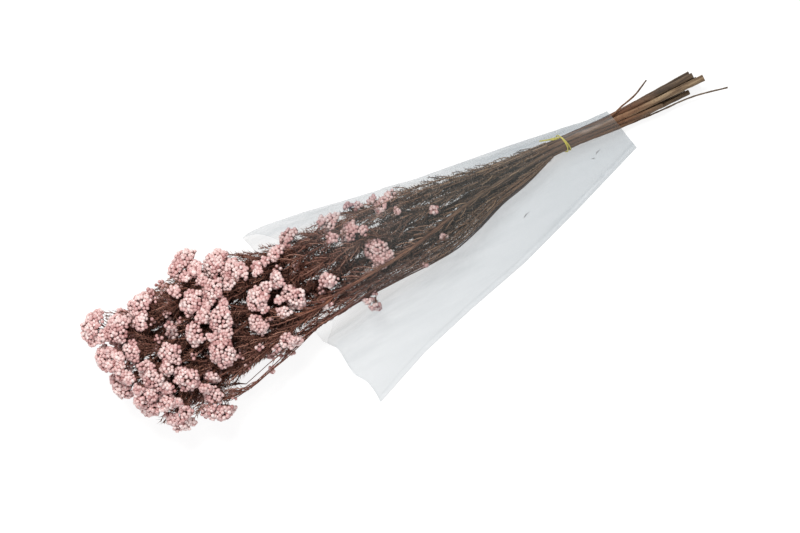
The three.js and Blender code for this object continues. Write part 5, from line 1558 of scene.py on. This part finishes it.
def model_scraps(finishes):
    """The fallen leaves, flat in the flap."""
    random = random_of(4)
    gathered = Gathering()
    for x, y, turn, length in SCRAPS:
        foot = np.array([[x, y, SCRAP_HEIGHT]])
        way = np.array([[math.cos(turn), math.sin(turn), 0.0]])
        wide = np.array([[-math.sin(turn), math.cos(turn), 0.0]])
        bow = wide * random.uniform(0.6, 1.2)
        laid = copies(needle, foot, wide * 0.4, np.array([[0, 0, 0.2]]), way * length, bow)
        gathered.add(needle, laid, NEEDLES, [random.uniform(0.2, 0.6)])
    return gathered.piece("fallen_leaves", finishes)


# The bunch is put together

bud, inner_bud = model_bud(), model_inner_bud()
needle, inner_needle = model_needle(), model_inner_needle()
rod_shape, long_rod, pedicel = model_shoot(), model_long_rod(), model_pedicel()
bud_pink, stalk_brown, leaf_brown = bud_finish(), stalk_finish(), leaf_finish()
bark, cut_wood = bark_finish(), cut_finish()
sides = []
run_edges()
grow_shoots(shoot_tips, 1)
grow_shoots(low_tips, 7)

for number in range(1, 11):
    wood = model_wood(number, [bark, cut_wood])
    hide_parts(f"stem_{number:02d}")
    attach(wood, "root")
    leaves = model_leaves(number, [leaf_brown, stalk_brown])
    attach(leaves, "root")

for head in heads:
    buds = model_head(head, [bud_pink, stalk_brown, leaf_brown])
    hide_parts(f"head_{head.number:02d}")
    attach(buds, "root")

small = model_small_heads([bud_pink, stalk_brown, leaf_brown])
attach(small, "root")

band = model_band([rubber_finish()])
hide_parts("band")
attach(band, "root")

sleeve = model_sleeve(film_finish())
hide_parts("sleeve")
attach(sleeve, "root")

scraps = model_scraps([leaf_brown])
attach(scraps, "root")


# Floor, light and camera

PHOTO_TURN = math.radians(28)
PHOTO_SCALE = 0.94  # millimetres of the bunch in one pixel of the photograph's frame, 800 across
CAMERA_HEIGHT = 9.0
MIDDLE_HEIGHT = 0.035
FLOOR_DEPTH = 0.0006
FLOOR_GREY, FLOOR_GLOW = 0.3, 0.82  # the floor glows so that it shows white
SKY_LIGHT, SKY_SEEN = 0.36, 1.1  # what the sky gives, and how bright the camera sees it

bpy.ops.object.select_all(action="DESELECT")
bpy.ops.mesh.primitive_plane_add(size=8, location=(0, 0, -FLOOR_DEPTH))
floor = bpy.context.object
floor.name = "floor"
pale = bpy.data.materials.new("floor_white")
pale.use_nodes = True
tree = pale.node_tree
tree.nodes.remove(tree.nodes["Principled BSDF"])
diffuse = tree.nodes.new("ShaderNodeBsdfDiffuse")
diffuse.inputs["Color"].default_value = (FLOOR_GREY, FLOOR_GREY, FLOOR_GREY, 1)
glow = tree.nodes.new("ShaderNodeEmission")
glow.inputs["Strength"].default_value = FLOOR_GLOW
both = tree.nodes.new("ShaderNodeAddShader")
tree.links.new(diffuse.outputs[0], both.inputs[0])
tree.links.new(glow.outputs[0], both.inputs[1])
tree.links.new(both.outputs[0], tree.nodes["Material Output"].inputs["Surface"])
floor.data.materials.append(pale)


def soft_light(name, spot, size, power, colour):
    """A square light that faces the bunch."""
    bpy.ops.object.light_add(type="AREA", location=spot)
    lamp = bpy.context.object
    lamp.name = name
    lamp.data.size = size
    lamp.data.energy = power
    lamp.data.color = colour
    lamp.rotation_euler = (Vector((0, 0, 0)) - Vector(spot)).to_track_quat("-Z", "Y").to_euler()


soft_light("key", (0.0, 1.65, 2.9), 1.2, 85, (1.0, 0.985, 0.96))
soft_light("fill", (-1.3, -0.9, 1.6), 1.2, 10, (0.94, 0.97, 1.0))

world = bpy.data.worlds.new("studio")
bpy.context.scene.world = world
world.use_nodes = True
sky = world.node_tree.nodes["Background"]
sky.inputs["Color"].default_value = (1, 1, 1, 1)
sky.inputs["Strength"].default_value = SKY_LIGHT
seen = world.node_tree.nodes.new("ShaderNodeBackground")
seen.inputs["Strength"].default_value = SKY_SEEN
pick_sky = world.node_tree.nodes.new("ShaderNodeMixShader")
path = world.node_tree.nodes.new("ShaderNodeLightPath")
world.node_tree.links.new(path.outputs["Is Camera Ray"], pick_sky.inputs[0])
world.node_tree.links.new(sky.outputs[0], pick_sky.inputs[1])
world.node_tree.links.new(seen.outputs[0], pick_sky.inputs[2])
world.node_tree.links.new(pick_sky.outputs[0], world.node_tree.nodes["World Output"].inputs["Surface"])

bpy.ops.object.camera_add(
    location=(SHIFT[0] * MM, SHIFT[1] * MM, CAMERA_HEIGHT + MIDDLE_HEIGHT), rotation=(0, 0, -PHOTO_TURN)
)
camera = bpy.context.object
camera.data.sensor_width = 36
camera.data.lens = 36 * CAMERA_HEIGHT / (800 * PHOTO_SCALE * MM)
camera.data.clip_end = 20
bpy.context.scene.camera = camera
bpy.context.scene.view_settings.view_transform = "Standard"
